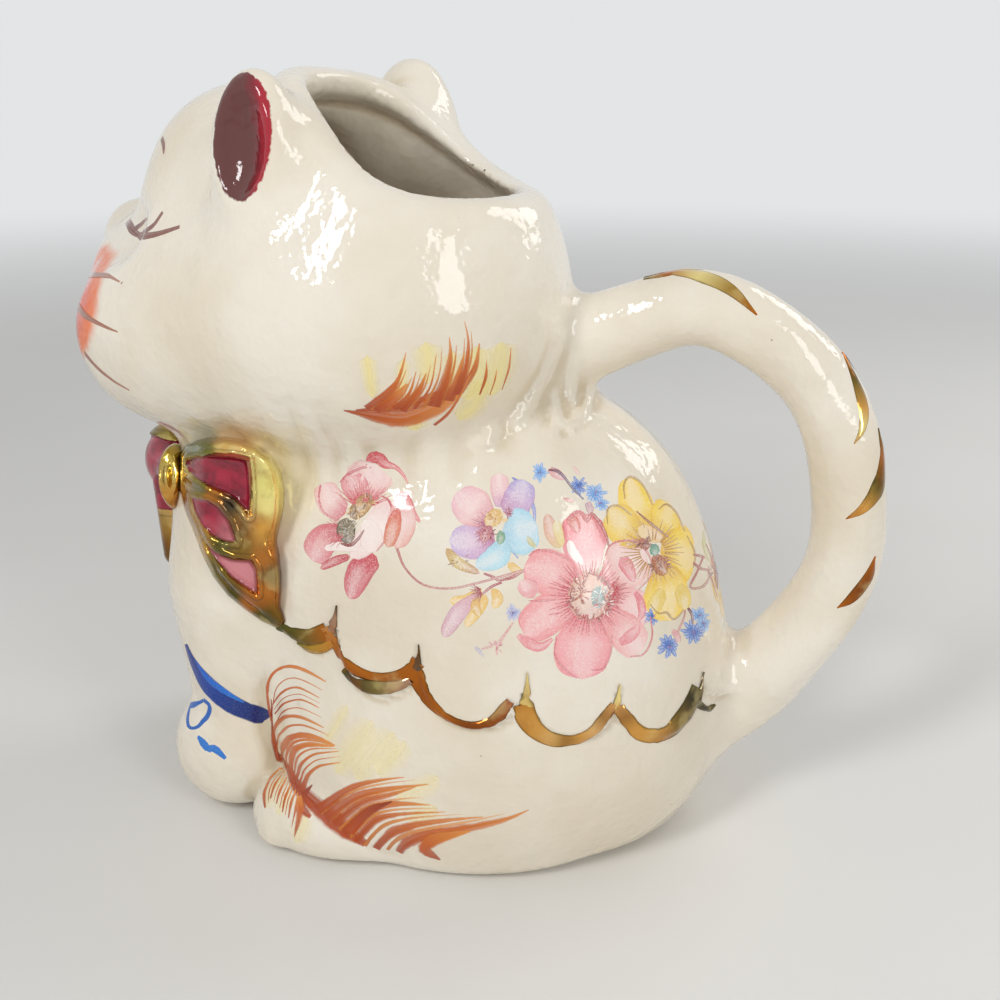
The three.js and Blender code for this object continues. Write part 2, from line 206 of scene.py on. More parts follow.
def colour(code):
    """Linear colour with alpha of a web colour."""
    parts = [int(code[i:i + 2], 16) / 255 for i in (1, 3, 5)]
    return tuple(c / 12.92 if c <= 0.04045 else ((c + 0.055) / 1.055) ** 2.4 for c in parts) + (1.0,)


# Picture and object: where a point of the object shows, and what a picture point touches

def eye_axes():
    level = np.array([-math.sin(EYE_HEADING), math.cos(EYE_HEADING), 0.0])
    right = np.array([math.cos(EYE_HEADING), math.sin(EYE_HEADING), 0.0])
    ahead = level * math.cos(EYE_PITCH) - np.array([0, 0, 1.0]) * math.sin(EYE_PITCH)
    return right, np.cross(right, ahead), ahead


RIGHT, UP, AHEAD = eye_axes()


def seen(p):
    """Where points show in the picture, in pixels from its top left corner."""
    q = p - EYE_PLACE
    depth = q @ AHEAD
    half = PICTURE_SIDE / 2
    return np.stack([half + FOCAL_PIXELS * (q @ RIGHT) / depth, half - FOCAL_PIXELS * (q @ UP) / depth], -1)


def touched(pixels, field):
    """The points of a field's surface that picture points fall on."""
    uv = (np.array(pixels, float) - PICTURE_SIDE / 2) / FOCAL_PIXELS
    ways = AHEAD + uv[:, :1] * RIGHT - uv[:, 1:] * UP
    ways /= np.linalg.norm(ways, axis=1, keepdims=True)
    reach = np.full(len(ways), NEAREST_REACH)
    best, nearest = reach.copy(), np.full(len(ways), 1e9)
    for _ in range(SIGHT_STEPS):
        d = field(EYE_PLACE + reach[:, None] * ways)
        better = d < nearest
        best, nearest = np.where(better, reach, best), np.where(better, d, nearest)
        reach = reach + SIGHT_STRIDE * d
    return EYE_PLACE + best[:, None] * ways


# Lines worked into the soft clay, as the picture shows them: the points of each, then its depth, which is
# negative where it is raised, and its half-width, both in millimetres
HAUNCH_FOLD = [
    (268, 662), (261, 694), (263, 730), (273, 761), (288, 787),
    (311, 810), (341, 832), (376, 849), (412, 859),
]
WORKED_LINES = [
    (HAUNCH_FOLD, 1.3, 1.5),
    ([(511, 429), (529, 405), (546, 376), (556, 350), (564, 326)], -0.7, 1.0),
    ([(548, 440), (556, 424), (557, 404), (552, 384)], -0.5, 1.1),
    ([(556, 406), (563, 419), (573, 427), (584, 412), (592, 388), (602, 366), (614, 350)], -0.7, 1.0),
    ([(577, 352), (572, 372), (572, 396), (575, 424)], -0.6, 1.0),
    ([(470, 452), (488, 440), (499, 424)], -0.45, 1.2),
    ([(286, 396), (294, 420), (312, 444)], 0.3, 1.3),
    ([(312, 402), (322, 426), (344, 448)], 0.3, 1.3),
    ([(338, 414), (350, 436), (374, 454)], 0.25, 1.3),
]
WORKED_SKIN = 4.0
WORKED_MARGIN = 20


def to_left(p):
    q = p.copy()
    q[..., 1] = -np.abs(q[..., 1])
    return q


def line_gap(spots, line):
    """Distance in pixels from picture points to a line of picture points, and how far along it they lie."""
    gap, share = np.full(spots.shape[:-1], 1e9), np.zeros(spots.shape[:-1])
    for k, (a, b) in enumerate(zip(line[:-1], line[1:])):
        along = b - a
        t = np.clip((spots - a) @ along / (along @ along), 0.0, 1.0)
        away = np.linalg.norm(spots - a - t[..., None] * along, axis=-1)
        share = np.where(away < gap, (k + t) / (len(line) - 1), share)
        gap = np.minimum(gap, away)
    return gap, share


def worked_lines(p, bare):
    """Depth of the worked lines at points near the skin, the same on both sides."""
    depth = np.zeros(p.shape[:-1])
    near = np.abs(bare) < WORKED_SKIN
    spots = seen(to_left(p[near]))
    for points, deep, half in WORKED_LINES:
        line = np.array(points, float)
        low, high = line.min(0) - WORKED_MARGIN, line.max(0) + WORKED_MARGIN
        inside = ((spots > low) & (spots < high)).all(-1)
        gap, share = line_gap(spots[inside], line)
        part = np.zeros(len(spots))
        part[inside] = deep * np.exp(-(gap / (PIXELS_PER_MM * half)) ** 2) * np.sin(np.pi * share) ** 0.7
        depth[near] += part
    return depth


# Distance fields of the clay masses, in millimetres, on arrays of points

def blend(a, b, radius):
    """Two fields in one, which flow into each other over a width."""
    overlap = np.maximum(radius - np.abs(a - b), 0.0) / radius
    return np.minimum(a, b) - overlap * overlap * radius / 4


def trim(a, b, radius):
    """What two fields share, rounded where they meet."""
    return -blend(-a, -b, radius)


def ease(value, low, high):
    """0 up to low and 1 from high on, smooth between them."""
    t = np.clip((value - low) / (high - low), 0.0, 1.0)
    return t * t * (3 - 2 * t)


def hump(value, middle, width):
    """1 at the middle, falling smoothly to 0 on both sides of it."""
    return np.exp(-((value - middle) / width) ** 2)


def mass(p, form, lift=0.0):
    """Distance from an oval mass, which may be lifted."""
    at, half = form
    q = (p - np.array((at[0], at[1], at[2] + lift))) / np.array(half, float)
    reach = np.sqrt((q * q).sum(-1))
    q = q / np.array(half, float)
    slope = np.sqrt((q * q).sum(-1))
    return reach * (reach - 1) / np.maximum(slope, 1e-9)


def limb(p, start, end, start_radius, end_radius):
    """Distance from a tapering limb with round ends."""
    start, end = np.array(start, float), np.array(end, float)
    along = end - start
    t = np.clip((p - start) @ along / (along @ along), 0.0, 1.0)
    gap = p - start - t[..., None] * along
    return np.sqrt((gap * gap).sum(-1)) - (start_radius + (end_radius - start_radius) * t)


def in_head(p):
    """Points of the jug on the head's own axes."""
    c, s = math.cos(HEAD_TURN), math.sin(HEAD_TURN)
    dx, y = p[..., 0] - HEAD_PIVOT_X, p[..., 1]
    return np.stack([dx * c - y * s + HEAD_PIVOT_X, dx * s + y * c, p[..., 2] - HEAD_LEVEL], -1)


def out_of_head(p):
    """Points on the head's own axes, put back on the jug's."""
    c, s = math.cos(HEAD_TURN), math.sin(HEAD_TURN)
    dx, y = p[..., 0] - HEAD_PIVOT_X, p[..., 1]
    return np.stack([dx * c + y * s + HEAD_PIVOT_X, -dx * s + y * c, p[..., 2] + HEAD_LEVEL], -1)


def hem_level(angle):
    """Height of the hem at angles in degrees from the front, the same on both sides."""
    edges = np.array(HEM_CUSPS_DEG, float)
    cusp = np.interp(angle, [edges[1], edges[5]], [HEM_FRONT_LEVEL, HEM_BACK_LEVEL])
    cusp = np.where(angle < edges[1], HEM_FRONT_LEVEL, cusp)
    i = np.clip(np.searchsorted(edges, angle, side="right") - 1, 0, len(edges) - 2)
    span = edges[i + 1] - edges[i]
    within = np.clip((angle - edges[i]) / span, 0.0, 1.0)
    drop = HEM_SCALLOP_DROP * np.minimum(1.0, span / HEM_FULL_SPAN_DEG)
    return cusp - drop * np.sqrt(np.maximum(np.sin(np.pi * within), 0.0))


def hem_angle(p):
    return np.degrees(np.arctan2(np.abs(p[..., 1]), HEM_AXIS_X - p[..., 0]))


def cape_step(p):
    """The cape stands a little proud of the flanks below its hem."""
    angle = hem_angle(p)
    level = hem_level(angle)
    above = ease(p[..., 2], level - 0.7, level + 0.7) * ease(angle, *CAPE_FRONT_DEG)
    below_neck = 1 - ease(p[..., 2], *CAPE_NECK_LEVELS)
    return CAPE_STEP * (above - 0.5 * ease(angle, *CAPE_FRONT_DIP_DEG)) * below_neck


def trunk(p):
    side = to_left(p)
    d = blend(mass(p, RUMP), mass(p, BACK), TRUNK_FLOW)
    d = blend(d, mass(p, CHEST), TRUNK_FLOW)
    d = blend(d, limb(side, *FORELEG), FORELEG_FLOW)
    return blend(d, mass(side, THIGH), THIGH_FLOW)


def head(p):
    side = to_left(in_head(p))
    d = mass(side, SKULL)
    for form, flow in HEAD_MASSES:
        d = blend(d, mass(side, form), flow)
    return trim(d, -mass(side, EYE_SOCKET), EYE_SOCKET_FLOW)


def skin(p):
    return blend(trunk(p), head(p), NECK_FLOW)


def above_rim(p):
    q = in_head(p)
    rise = (RIM_BROW_RISE - RIM_NAPE_RISE) / (1 + np.exp((q[..., 0] - RIM_SLOPE_X) / RIM_SLOPE_RUN))
    return RIM_STEEPNESS * (q[..., 2] - RIM_NAPE_RISE - rise)


def ear(q, lift):
    leaf = blend(mass(q, EAR, lift), limb(q, *raised(EAR_ROOT, lift)), EAR_ROOT_FLOW)
    return trim(leaf, -mass(q, EAR_CUP, lift), EAR_CUP_ROUNDING)


def raised(form, lift):
    start, end, a, b = form
    return (start[0], start[1], start[2] + lift), (end[0], end[1], end[2] + lift), a, b


def ears(p):
    q = in_head(p)
    other = q * np.array([1, -1, 1])
    other[..., 0] = (other[..., 0] - EAR[0][0] + RIGHT_EAR_FORWARD) / RIGHT_EAR_WIDENING + EAR[0][0]
    return np.minimum(ear(q, 0.0), ear(other, RIGHT_EAR_LIFT))


def paws(p):
    side = to_left(p)
    d = blend(mass(side, FOREPAW), mass(side, HIND_PAW), PAW_TO_PAW_FLOW)
    at, half = HIND_PAW
    for turn in TOE_TURNS_DEG:
        a = math.radians(turn)
        ahead, aside = (half[0] - TOE_INSET) * math.cos(a), (half[1] - TOE_INSET) * math.sin(a)
        toe = (at[0] - ahead, at[1] + aside, TOE_LEVEL)
        d = blend(d, mass(side, (toe, (TOE_RADIUS,) * 3)), TOE_FLOW)
    return d


def spline(points, steps):
    """A smooth line through points of any dimension, with the same number of steps between each two."""
    p = np.array(points, float)
    p = np.vstack([2 * p[0] - p[1], p, 2 * p[-1] - p[-2]])
    t = (np.arange(steps) / steps)[:, None]
    line = []
    for i in range(1, len(p) - 2):
        v0, v1 = (p[i + 1] - p[i - 1]) / 2, (p[i + 2] - p[i]) / 2
        a, b = 2 * (p[i] - p[i + 1]) + v0 + v1, 3 * (p[i + 1] - p[i]) - 2 * v0 - v1
        line.append(((a * t + b) * t + v0) * t + p[i])
    return np.vstack(line + [p[-2:-1]])


TAIL_LINE = spline(TAIL_ROUTE, 5)


def tail(p):
    """The rolled tail, with a faint twist worked into the clay."""
    d = np.full(p.shape[:-1], FAR_AWAY)
    near = p[..., 0] > TAIL_FOREMOST_X
    q = p[near]
    best = np.full(len(q), FAR_AWAY)
    share = np.zeros(len(q))
    last = len(TAIL_LINE) - 1
    for i in range(last):
        a, b = TAIL_LINE[i], TAIL_LINE[i + 1]
        along = b - a
        dx, dz = q[:, 0] - a[0], q[:, 2] - a[1]
        t = np.clip((dx * along[0] + dz * along[1]) / (along @ along), 0.0, 1.0)
        gap = np.sqrt((dx - t * along[0]) ** 2 + q[:, 1] ** 2 + (dz - t * along[1]) ** 2)
        u = (i + t) / last
        radius = TAIL_RADIUS + TAIL_NAPE_FLARE * np.exp(-(u / 0.1) ** 1.3)
        radius = radius + TAIL_RUMP_FLARE * np.exp(-((1 - u) / 0.2) ** 1.6)
        closer = gap - radius < best
        best = np.where(closer, gap - radius, best)
        share = np.where(closer, u, share)
    middle = np.stack([np.interp(share, np.linspace(0, 1, last + 1), TAIL_LINE[:, k]) for k in (0, 1)], -1)
    cx, cz = TAIL_LOOP_MIDDLE
    outward = np.hypot(q[:, 0] - cx, q[:, 2] - cz) - np.hypot(middle[:, 0] - cx, middle[:, 1] - cz)
    around = np.arctan2(q[:, 1], outward)
    ends = ease(share, 0.12, 0.3) * (1 - ease(share, 0.8, 0.95))
    twist = TAIL_TWIST * np.sin(3 * around + 34 * share) * ends
    d[near] = best - twist
    return d


def mouth(p):
    q = in_head(p)
    round_gap = np.hypot(q[..., 1] / (MOUTH[0] / 2), (q[..., 2] + MOUTH[2]) / (MOUTH[1] / 2)) - 1
    return np.maximum(round_gap * MOUTH[1] / 2, q[..., 0] - MOUTH_END_X)


def fur_relief(p):
    """Locks of fur pressed softly into the clay below the cheeks and along the haunch."""
    q = in_head(p)
    angle = np.arctan2(q[..., 1], -(q[..., 0] + 10))
    ruff = hump(q[..., 2], RUFF_LEVEL, RUFF_SPREAD) * np.sin(RUFF_LOCKS * angle + 0.18 * q[..., 2])
    haunch = ease(-p[..., 0], *HAUNCH_FUR_AHEAD) * hump(p[..., 2], HAUNCH_FUR_LEVEL, HAUNCH_FUR_SPREAD)
    locks = haunch * np.sin(0.9 * p[..., 0] + 0.55 * p[..., 2])
    return RUFF_DEPTH * ruff + HAUNCH_FUR_DEPTH * locks


def lip_inside_rim(p):
    """How much thicker the wall is just below the rim."""
    q = in_head(p)
    far = ease(q[..., 1], *FAR_SIDE_Y) * ease(-q[..., 0], *FAR_SIDE_AHEAD)
    brow = ease(-q[..., 0], *BROW_AHEAD)
    lip = RIM_LIP + far * (RIM_LIP_FAR + RIM_LIP_BROW * brow)
    drop = RIM_LIP_DEPTH + RIM_LIP_BROW_DEPTH * brow
    return lip * (1 - ease(-above_rim(p), drop, drop + RIM_LIP_FALL))


def glazed(p):
    """The glazed jug without its bow: skin, ears, paws and tail in one flow, hollow, with its openings."""
    bare = skin(p)
    d = bare - cape_step(p) - fur_relief(p) + worked_lines(p, bare)
    d = blend(d, paws(p), PAW_FLOW)
    d = trim(d, above_rim(p), RIM_ROUNDING)
    d = blend(d, ears(p), EAR_FLOW)
    d = blend(d, tail(p), TAIL_FLOW)
    inside = trim(bare + WALL + lip_inside_rim(p), FLOOR_LEVEL - p[..., 2], INNER_FLOOR_ROUNDING)
    d = trim(d, -inside, INNER_EDGE_ROUNDING)
    d = trim(d, -mouth(p), MOUTH_ROUNDING)
    recess = np.maximum(trunk(p * np.array([1, 1, 0])) + FOOT_RING_WIDTH, p[..., 2] - FOOT_RECESS)
    d = trim(d, -recess, RECESS_ROUNDING)
    return trim(d, -p[..., 2], FOOT_ROUNDING)


# The bow. Its near half is a relief on the neck, outlined as the picture shows it, with sunken panels
NEAR_BOW = [
    (180, 455), (185, 446), (196, 441), (210, 438), (226, 437), (242, 440), (258, 446), (271, 456),
    (280, 470), (284, 490), (283, 508), (279, 526), (276, 540), (279, 556), (281, 575), (281, 592),
    (280, 606), (286, 622), (278, 628), (262, 621), (245, 609), (228, 595), (214, 577), (203, 555),
    (194, 531), (185, 510), (180, 490),
]
NEAR_PANELS = [
    [
        (185, 461), (197, 457), (215, 456), (232, 457), (247, 460), (249, 475), (250, 496), (249, 516),
        (244, 508), (235, 498), (225, 492), (212, 487), (197, 479), (188, 470),
    ],
    [
        (191, 497), (207, 500), (218, 507), (229, 522), (236, 542), (225, 541), (212, 535), (202, 525),
        (195, 512),
    ],
    [
        (206, 545), (220, 555), (233, 560), (250, 561), (256, 570), (257, 594), (245, 586), (232, 577),
        (220, 564), (211, 553),
    ],
]

# What shapes the relief, in picture rows and columns: its rise in millimetres at some rows, where its pleats
# start and fade, the groove along its lower left edge, the waist where the loop passes into the ribbon, and
# the ridge round each panel. Groove, waist and ridge have a depth in millimetres, and a middle and a width
# in pixels.
RISE_ROWS = (440, 500, 545, 600, 628)
RISES = (4.2, 4.8, 3.6, 2.4, 1.0)
PLEATS_FROM = (176.0, 476.0)
PLEATS_FADE = (30, 75)
LOWER_LEFT = (395, 412)
LEFT_OF_COLUMN = (-272, -256)
GROOVE_DEPTH = 0.5
GROOVE_INSIDE = (6.5, 1.8)
WAIST_DEPTH = 0.8
WAIST_ROWS = (541, 7)
WAIST_COLUMNS = (256, 274)
LOW_LEFT_COLUMNS = (184, 206)
BLUSH_ROWS = (488, 560)
BLUSH_COLUMNS = (200, 238)
EDGE_ROUNDING = 15
RIDGE_RISE = 0.4
RIDGE_OUTSIDE = (-4.5, 2.6)
PANEL_EDGE = (-1.5, 2.5)

# The knot's middle and its half-sizes across, up and ahead in the picture. The far half is made of limbs.
KNOT = ((-42.6, -9.4, 56.5), (2.0, 5.5, 6.6))
KNOT_FOLD = 0.32
KNOT_FOLD_RING = 0.78
KNOT_DENT = 0.4
KNOT_DENT_RING = 0.35
KNOT_FOLD_WIDTH = 0.2
RIGHT_LOOP = ((-46.8, -1.5, 54.4), (-50.2, 7, 53.6), 4, 7.1)
RIGHT_LOOP_BACK = ((-50.2, 7, 53.6), (-35, 17.5, 57.5), 7.1, 6)
RIGHT_RIBBON = ((-49.5, 2.5, 51), (-50.3, 1.5, 37.5), 4.2, 2.6)
PANEL_SINK = 0.75
FAR_REACH = 27.0
FAR_START = 5.0
BOW_SEAT = 1.5


def inside_outline(spots, outline):
    """Distance of picture points inside a closed outline, negative outside, in pixels."""
    corners = np.array(outline, float)
    gap, _ = line_gap(spots, np.vstack([corners, corners[:1]]))
    inside = np.zeros(spots.shape[:-1], bool)
    for (ax, ay), (bx, by) in zip(corners, np.roll(corners, -1, axis=0)):
        crosses = (ay > spots[..., 1]) != (by > spots[..., 1])
        at = ax + (spots[..., 1] - ay) / (by - ay if by != ay else 1e-9) * (bx - ax)
        inside ^= crosses & (spots[..., 0] < at)
    return np.where(inside, gap, -gap)


def panel_depth(spots):
    """Depth in pixels inside the nearest panel of the near half of the bow."""
    return np.max([inside_outline(spots, outline) for outline in NEAR_PANELS], axis=0)


def near_bow(p):
    """Height field over the skin: a rounded band that narrows to a ribbon end, with pleats from the knot."""
    spots = seen(p)
    edge = inside_outline(spots, NEAR_BOW)
    column, row = spots[..., 0], spots[..., 1]
    near_edge = 1 - np.clip(edge / EDGE_ROUNDING, 0.0, 1.0)
    rise = np.interp(row, RISE_ROWS, RISES) * np.sqrt(np.clip(1 - near_edge ** 2.4, 0.0, 1.0))
    across, down = column - PLEATS_FROM[0], row - PLEATS_FROM[1]
    pleats = 0.18 * np.sin(9 * np.arctan2(down, across)) * (1 - ease(np.hypot(across, down), *PLEATS_FADE))
    lower_left = ease(row - 0.55 * column, *LOWER_LEFT) * ease(-column, *LEFT_OF_COLUMN)
    groove = GROOVE_DEPTH * hump(edge, *GROOVE_INSIDE) * lower_left
    waist = WAIST_DEPTH * hump(row, *WAIST_ROWS) * ease(column, *WAIST_COLUMNS)
    rise = rise * (0.6 + 0.4 * ease(column, *LOW_LEFT_COLUMNS))
    depth = panel_depth(spots)
    ridge = RIDGE_RISE * hump(depth, *RIDGE_OUTSIDE)
    worked = (pleats + ridge - groove - waist) * ease(edge, 0, 6)
    rise = rise - PANEL_SINK * ease(depth, *PANEL_EDGE) + worked
    return 0.6 * (skin(p) - np.where(edge > 0, rise, 0.3 * edge))


def knot(p):
    """The band round the middle of the bow, with a ring of folds on its face."""
    q = p - np.array(KNOT[0])
    turned = np.stack([q @ RIGHT, q @ UP, q @ AHEAD], -1)
    ring = np.hypot(turned[..., 0] / KNOT[1][0], turned[..., 1] / KNOT[1][1])
    folds = KNOT_FOLD * hump(ring, KNOT_FOLD_RING, KNOT_FOLD_WIDTH)
    folds = folds - KNOT_DENT * hump(ring, KNOT_DENT_RING, KNOT_FOLD_WIDTH)
    return mass(turned, ((0, 0, 0), KNOT[1])) - folds * ease(-turned[..., 2], 0.0, 2.0)


def right_loop(p):
    band = blend(limb(p, *RIGHT_LOOP), limb(p, *RIGHT_LOOP_BACK), 2)
    return band + PANEL_SINK * ease(far_panels(p), *PANEL_EDGE)


def right_ribbon(p):
    return limb(p, *RIGHT_RIBBON)


# Panels of the far half: the way round the chest from the knot and the height, in millimetres
FAR_PANELS = [
    [
        (-7.5, 56.5), (-12, 58.5), (-22, 59), (-27, 57.5), (-27, 51), (-24, 48.5), (-16, 50.5), (-10, 52.5),
        (-7.5, 53),
    ],
    [(-11.5, 53.5), (-16, 51.5), (-21, 47.5), (-19, 46.5), (-14, 47.5), (-12, 50)],
    [(-8.5, 50), (-10.5, 49), (-10.5, 40), (-9.3, 38), (-8.3, 42)],
]


def far_panels(p):
    """Depth in pixels inside the nearest panel of the far half of the bow."""
    axis = np.array(CHEST[0][:2], float)
    flat = p[..., :2] - axis
    knot_turn = math.atan2(KNOT[0][1] - axis[1], axis[0] - KNOT[0][0])
    turn = np.arctan2(flat[..., 1], -flat[..., 0]) - knot_turn
    spots = np.stack([-FAR_REACH * turn - FAR_START, p[..., 2]], -1)
    return PIXELS_PER_MM * np.max([inside_outline(spots, outline) for outline in FAR_PANELS], axis=0)


# Meshes

LOT = 12000
WORKERS = 4
FOUR_WAYS = np.array([(1, 1, 1), (1, -1, -1), (-1, 1, -1), (-1, -1, 1)], float)


def measure(field, p):
    """A field's values at many points, worked out in small lots side by side."""
    flat = p.reshape(-1, 3)
    lots = np.array_split(flat, max(1, len(flat) // LOT))
    with ThreadPoolExecutor(WORKERS) as pool:
        return np.concatenate(list(pool.map(field, lots))).reshape(p.shape[:-1])


def slope(field, p, step=0.12):
    """A field's mean value closely round points, and the direction in which it grows there."""
    level = np.stack([measure(field, p + way * step) for way in FOUR_WAYS])
    return level.mean(0), np.tensordot(level, FOUR_WAYS, (0, 0)) / (4 * step)


def net(field, low, high, pitch):
    """Points and quads on a field's zero level: one point for each grid cell that it crosses."""
    low = np.array(low, float)
    sides = [np.arange(a, b + pitch, pitch) for a, b in zip(low, high)]
    level = measure(field, np.stack(np.meshgrid(*sides, indexing="ij"), -1))
    corners = [(i, j, k) for i in (0, 1) for j in (0, 1) for k in (0, 1)]

    def cut(array, corner):
        return array[tuple(slice(c, n - 1 + c) for c, n in zip(corner, array.shape))]

    count = sum(cut(level < 0, c).astype(np.int8) for c in corners)
    active = (count > 0) & (count < 8)
    index = np.full(active.shape, -1)
    index[active] = np.arange(active.sum())
    total, hits = np.zeros((active.sum(), 3)), np.zeros(active.sum())
    for a in corners:
        for axis in range(3):
            if a[axis]:
                continue
            b = tuple(c + (k == axis) for k, c in enumerate(a))
            va, vb = cut(level, a)[active], cut(level, b)[active]
            crosses = (va < 0) != (vb < 0)
            t = np.where(crosses, va / np.where(crosses, va - vb, 1.0), 0.0)
            total += (np.array(a) + np.eye(3)[axis] * t[:, None]) * crosses[:, None]
            hits += crosses
    points = low + pitch * (np.argwhere(active) + total / hits[:, None])
    quads = []
    for axis in range(3):
        u, v = (axis + 1) % 3, (axis + 2) % 3
        near = [slice(1, n - 1) for n in level.shape]
        near[axis] = slice(0, level.shape[axis] - 1)
        far = list(near)
        far[axis] = slice(1, level.shape[axis])
        a, b = level[tuple(near)] < 0, level[tuple(far)] < 0
        for outward in (True, False):
            spots = np.argwhere(a & ~b if outward else b & ~a)
            spots = spots + np.array([0 if k == axis else 1 for k in range(3)])
            ring = []
            for du, dv in ((1, 1), (0, 1), (0, 0), (1, 0)):
                cell = spots.copy()
                cell[:, u] -= du
                cell[:, v] -= dv
                ring.append(index[tuple(cell.T)])
            quad = np.stack(ring, -1)
            quads.append(quad if outward else quad[:, ::-1])
    points = settle(field, points, pitch)
    return points, np.vstack(quads)


def settle(field, points, pitch):
    """Moves points onto the field's zero level, by half a cell at most."""
    start = points.copy()
    for _ in range(2):
        level, way = slope(field, points)
        steep = np.maximum((way * way).sum(-1), 0.2)
        points = points - (level / steep)[:, None] * way
        gap = points - start
        far = np.linalg.norm(gap, axis=1, keepdims=True)
        points = start + gap * np.minimum(1.0, 0.5 * pitch / np.maximum(far, 1e-9))
    return points


def link(name, points, faces, field=None, edges=()):
    """An object from points in millimetres, smooth, with the field's own directions as its normals."""
    mesh = bpy.data.meshes.new(name)
    mesh.from_pydata(((points + SHIFT) * MM).tolist(), list(edges), np.array(faces).tolist())
    made = bpy.data.objects.new(name, mesh)
    bpy.context.scene.collection.objects.link(made)
    if len(faces):
        mesh.shade_smooth()
    if field is not None:
        way = slope(field, points)[1]
        way /= np.maximum(np.linalg.norm(way, axis=1, keepdims=True), 1e-9)
        mesh.normals_split_custom_set_from_vertices(way.tolist())
    return made


def tag(made, name, values, kind="FLOAT"):
    """Stores one value a point on an object's mesh."""
    layer = made.data.attributes.new(name, kind, "POINT")
    layer.data.foreach_set("color" if kind == "FLOAT_COLOR" else "value", np.ravel(values))


def settle_on_jug(made, slot_name, *nodes):
    """Gives a finished piece its body and hides the frame nodes it stands for. Its slot name is not used."""
    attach(made, "root")
    if nodes:
        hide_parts(*nodes)


# Node trees

class Wire:
    """A node's output that can be used in sums."""

    def __init__(self, bench, output):
        self.bench = bench
        self.output = output

    def of(self, name):
        return Wire(self.bench, self.output.node.outputs[name])

    def maths(self, operation, a, b):
        return self.bench.node("ShaderNodeMath", {"operation": operation}, {0: a, 1: b})

    def __add__(self, other):
        return self.maths("ADD", self, other)

    def __sub__(self, other):
        return self.maths("SUBTRACT", self, other)

    def __rsub__(self, other):
        return self.maths("SUBTRACT", other, self)

    def __mul__(self, other):
        return self.maths("MULTIPLY", self, other)


class Bench:
    """A node tree being put together."""

    def __init__(self, tree):
        self.tree = tree

    def node(self, kind, settings=None, sockets=None, out=0):
        made = self.tree.nodes.new(kind)
        for key, value in (settings or {}).items():
            if key == "stops":
                while len(made.color_ramp.elements) < len(value):
                    made.color_ramp.elements.new(1.0)
                for stop, (place, tone) in zip(made.color_ramp.elements, value):
                    stop.position = place
                    stop.color = tone
            else:
                setattr(made, key, value)
        for key, value in (sockets or {}).items():
            if isinstance(value, Wire):
                self.tree.links.new(value.output, made.inputs[key])
            else:
                made.inputs[key].default_value = value
        return Wire(self, made.outputs[out]) if made.outputs else made


class Finish(Bench):
    """A procedural finish: its material, its place in millimetres and the parts that most finishes share."""

    def __init__(self, name):
        self.material = bpy.data.materials.new(name)
        self.material.use_nodes = True
        super().__init__(self.material.node_tree)
        self.tree.nodes.clear()
        place = self.node("ShaderNodeTexCoord", out="Object")
        self.place = self.node("ShaderNodeVectorMath", {"operation": "SCALE"}, {0: place, "Scale": 1 / MM})

    def noise(self, per_mm, detail=3.0, rough=0.5, place=None):
        sockets = {"Vector": place or self.place, "Scale": per_mm, "Detail": detail, "Roughness": rough}
        return self.node("ShaderNodeTexNoise", {}, sockets)

    def ramp(self, factor, *stops):
        return self.node("ShaderNodeValToRGB", {"stops": stops}, {0: factor})

    def step(self, value, low, high):
        """0 at low and 1 at high, eased, in either order."""
        return self.node(
            "ShaderNodeMapRange", {"interpolation_type": "SMOOTHSTEP"}, {0: value, 1: low, 2: high}
        )

    def mix(self, factor, a, b, way="MIX"):
        return self.node(
            "ShaderNodeMix", {"data_type": "RGBA", "blend_type": way}, {0: factor, 6: a, 7: b}, 2
        )

    def attribute(self, name, out="Fac"):
        return self.node("ShaderNodeAttribute", {"attribute_name": name}, {}, out)

    def head_oval(self, centre, half):
        """How far out places lie in an oval that turns with the head: 0 at its centre, 1 on its surface."""
        middle = tuple(out_of_head(np.array(centre, float)) + SHIFT)
        sockets = {"Vector": self.place, "Location": middle, "Rotation": (0, 0, -HEAD_TURN), "Scale": half}
        inner = self.node("ShaderNodeMapping", {"vector_type": "TEXTURE"}, sockets)
        return self.node("ShaderNodeVectorMath", {"operation": "LENGTH"}, {0: inner}, "Value")

    def size(self, value):
        return self.node("ShaderNodeMath", {"operation": "ABSOLUTE"}, {0: value})

    def bump(self, height, strength, distance_mm):
        return self.node(
            "ShaderNodeBump", {}, {"Strength": strength, "Distance": distance_mm * MM, "Height": height}
        )

    def surface(self, **sockets):
        names = {key.replace("_", " "): value for key, value in sockets.items()}
        shader = self.node("ShaderNodeBsdfPrincipled", {}, names)
        self.node("ShaderNodeOutputMaterial", {}, {"Surface": shader})
        return self.material


# Finishes

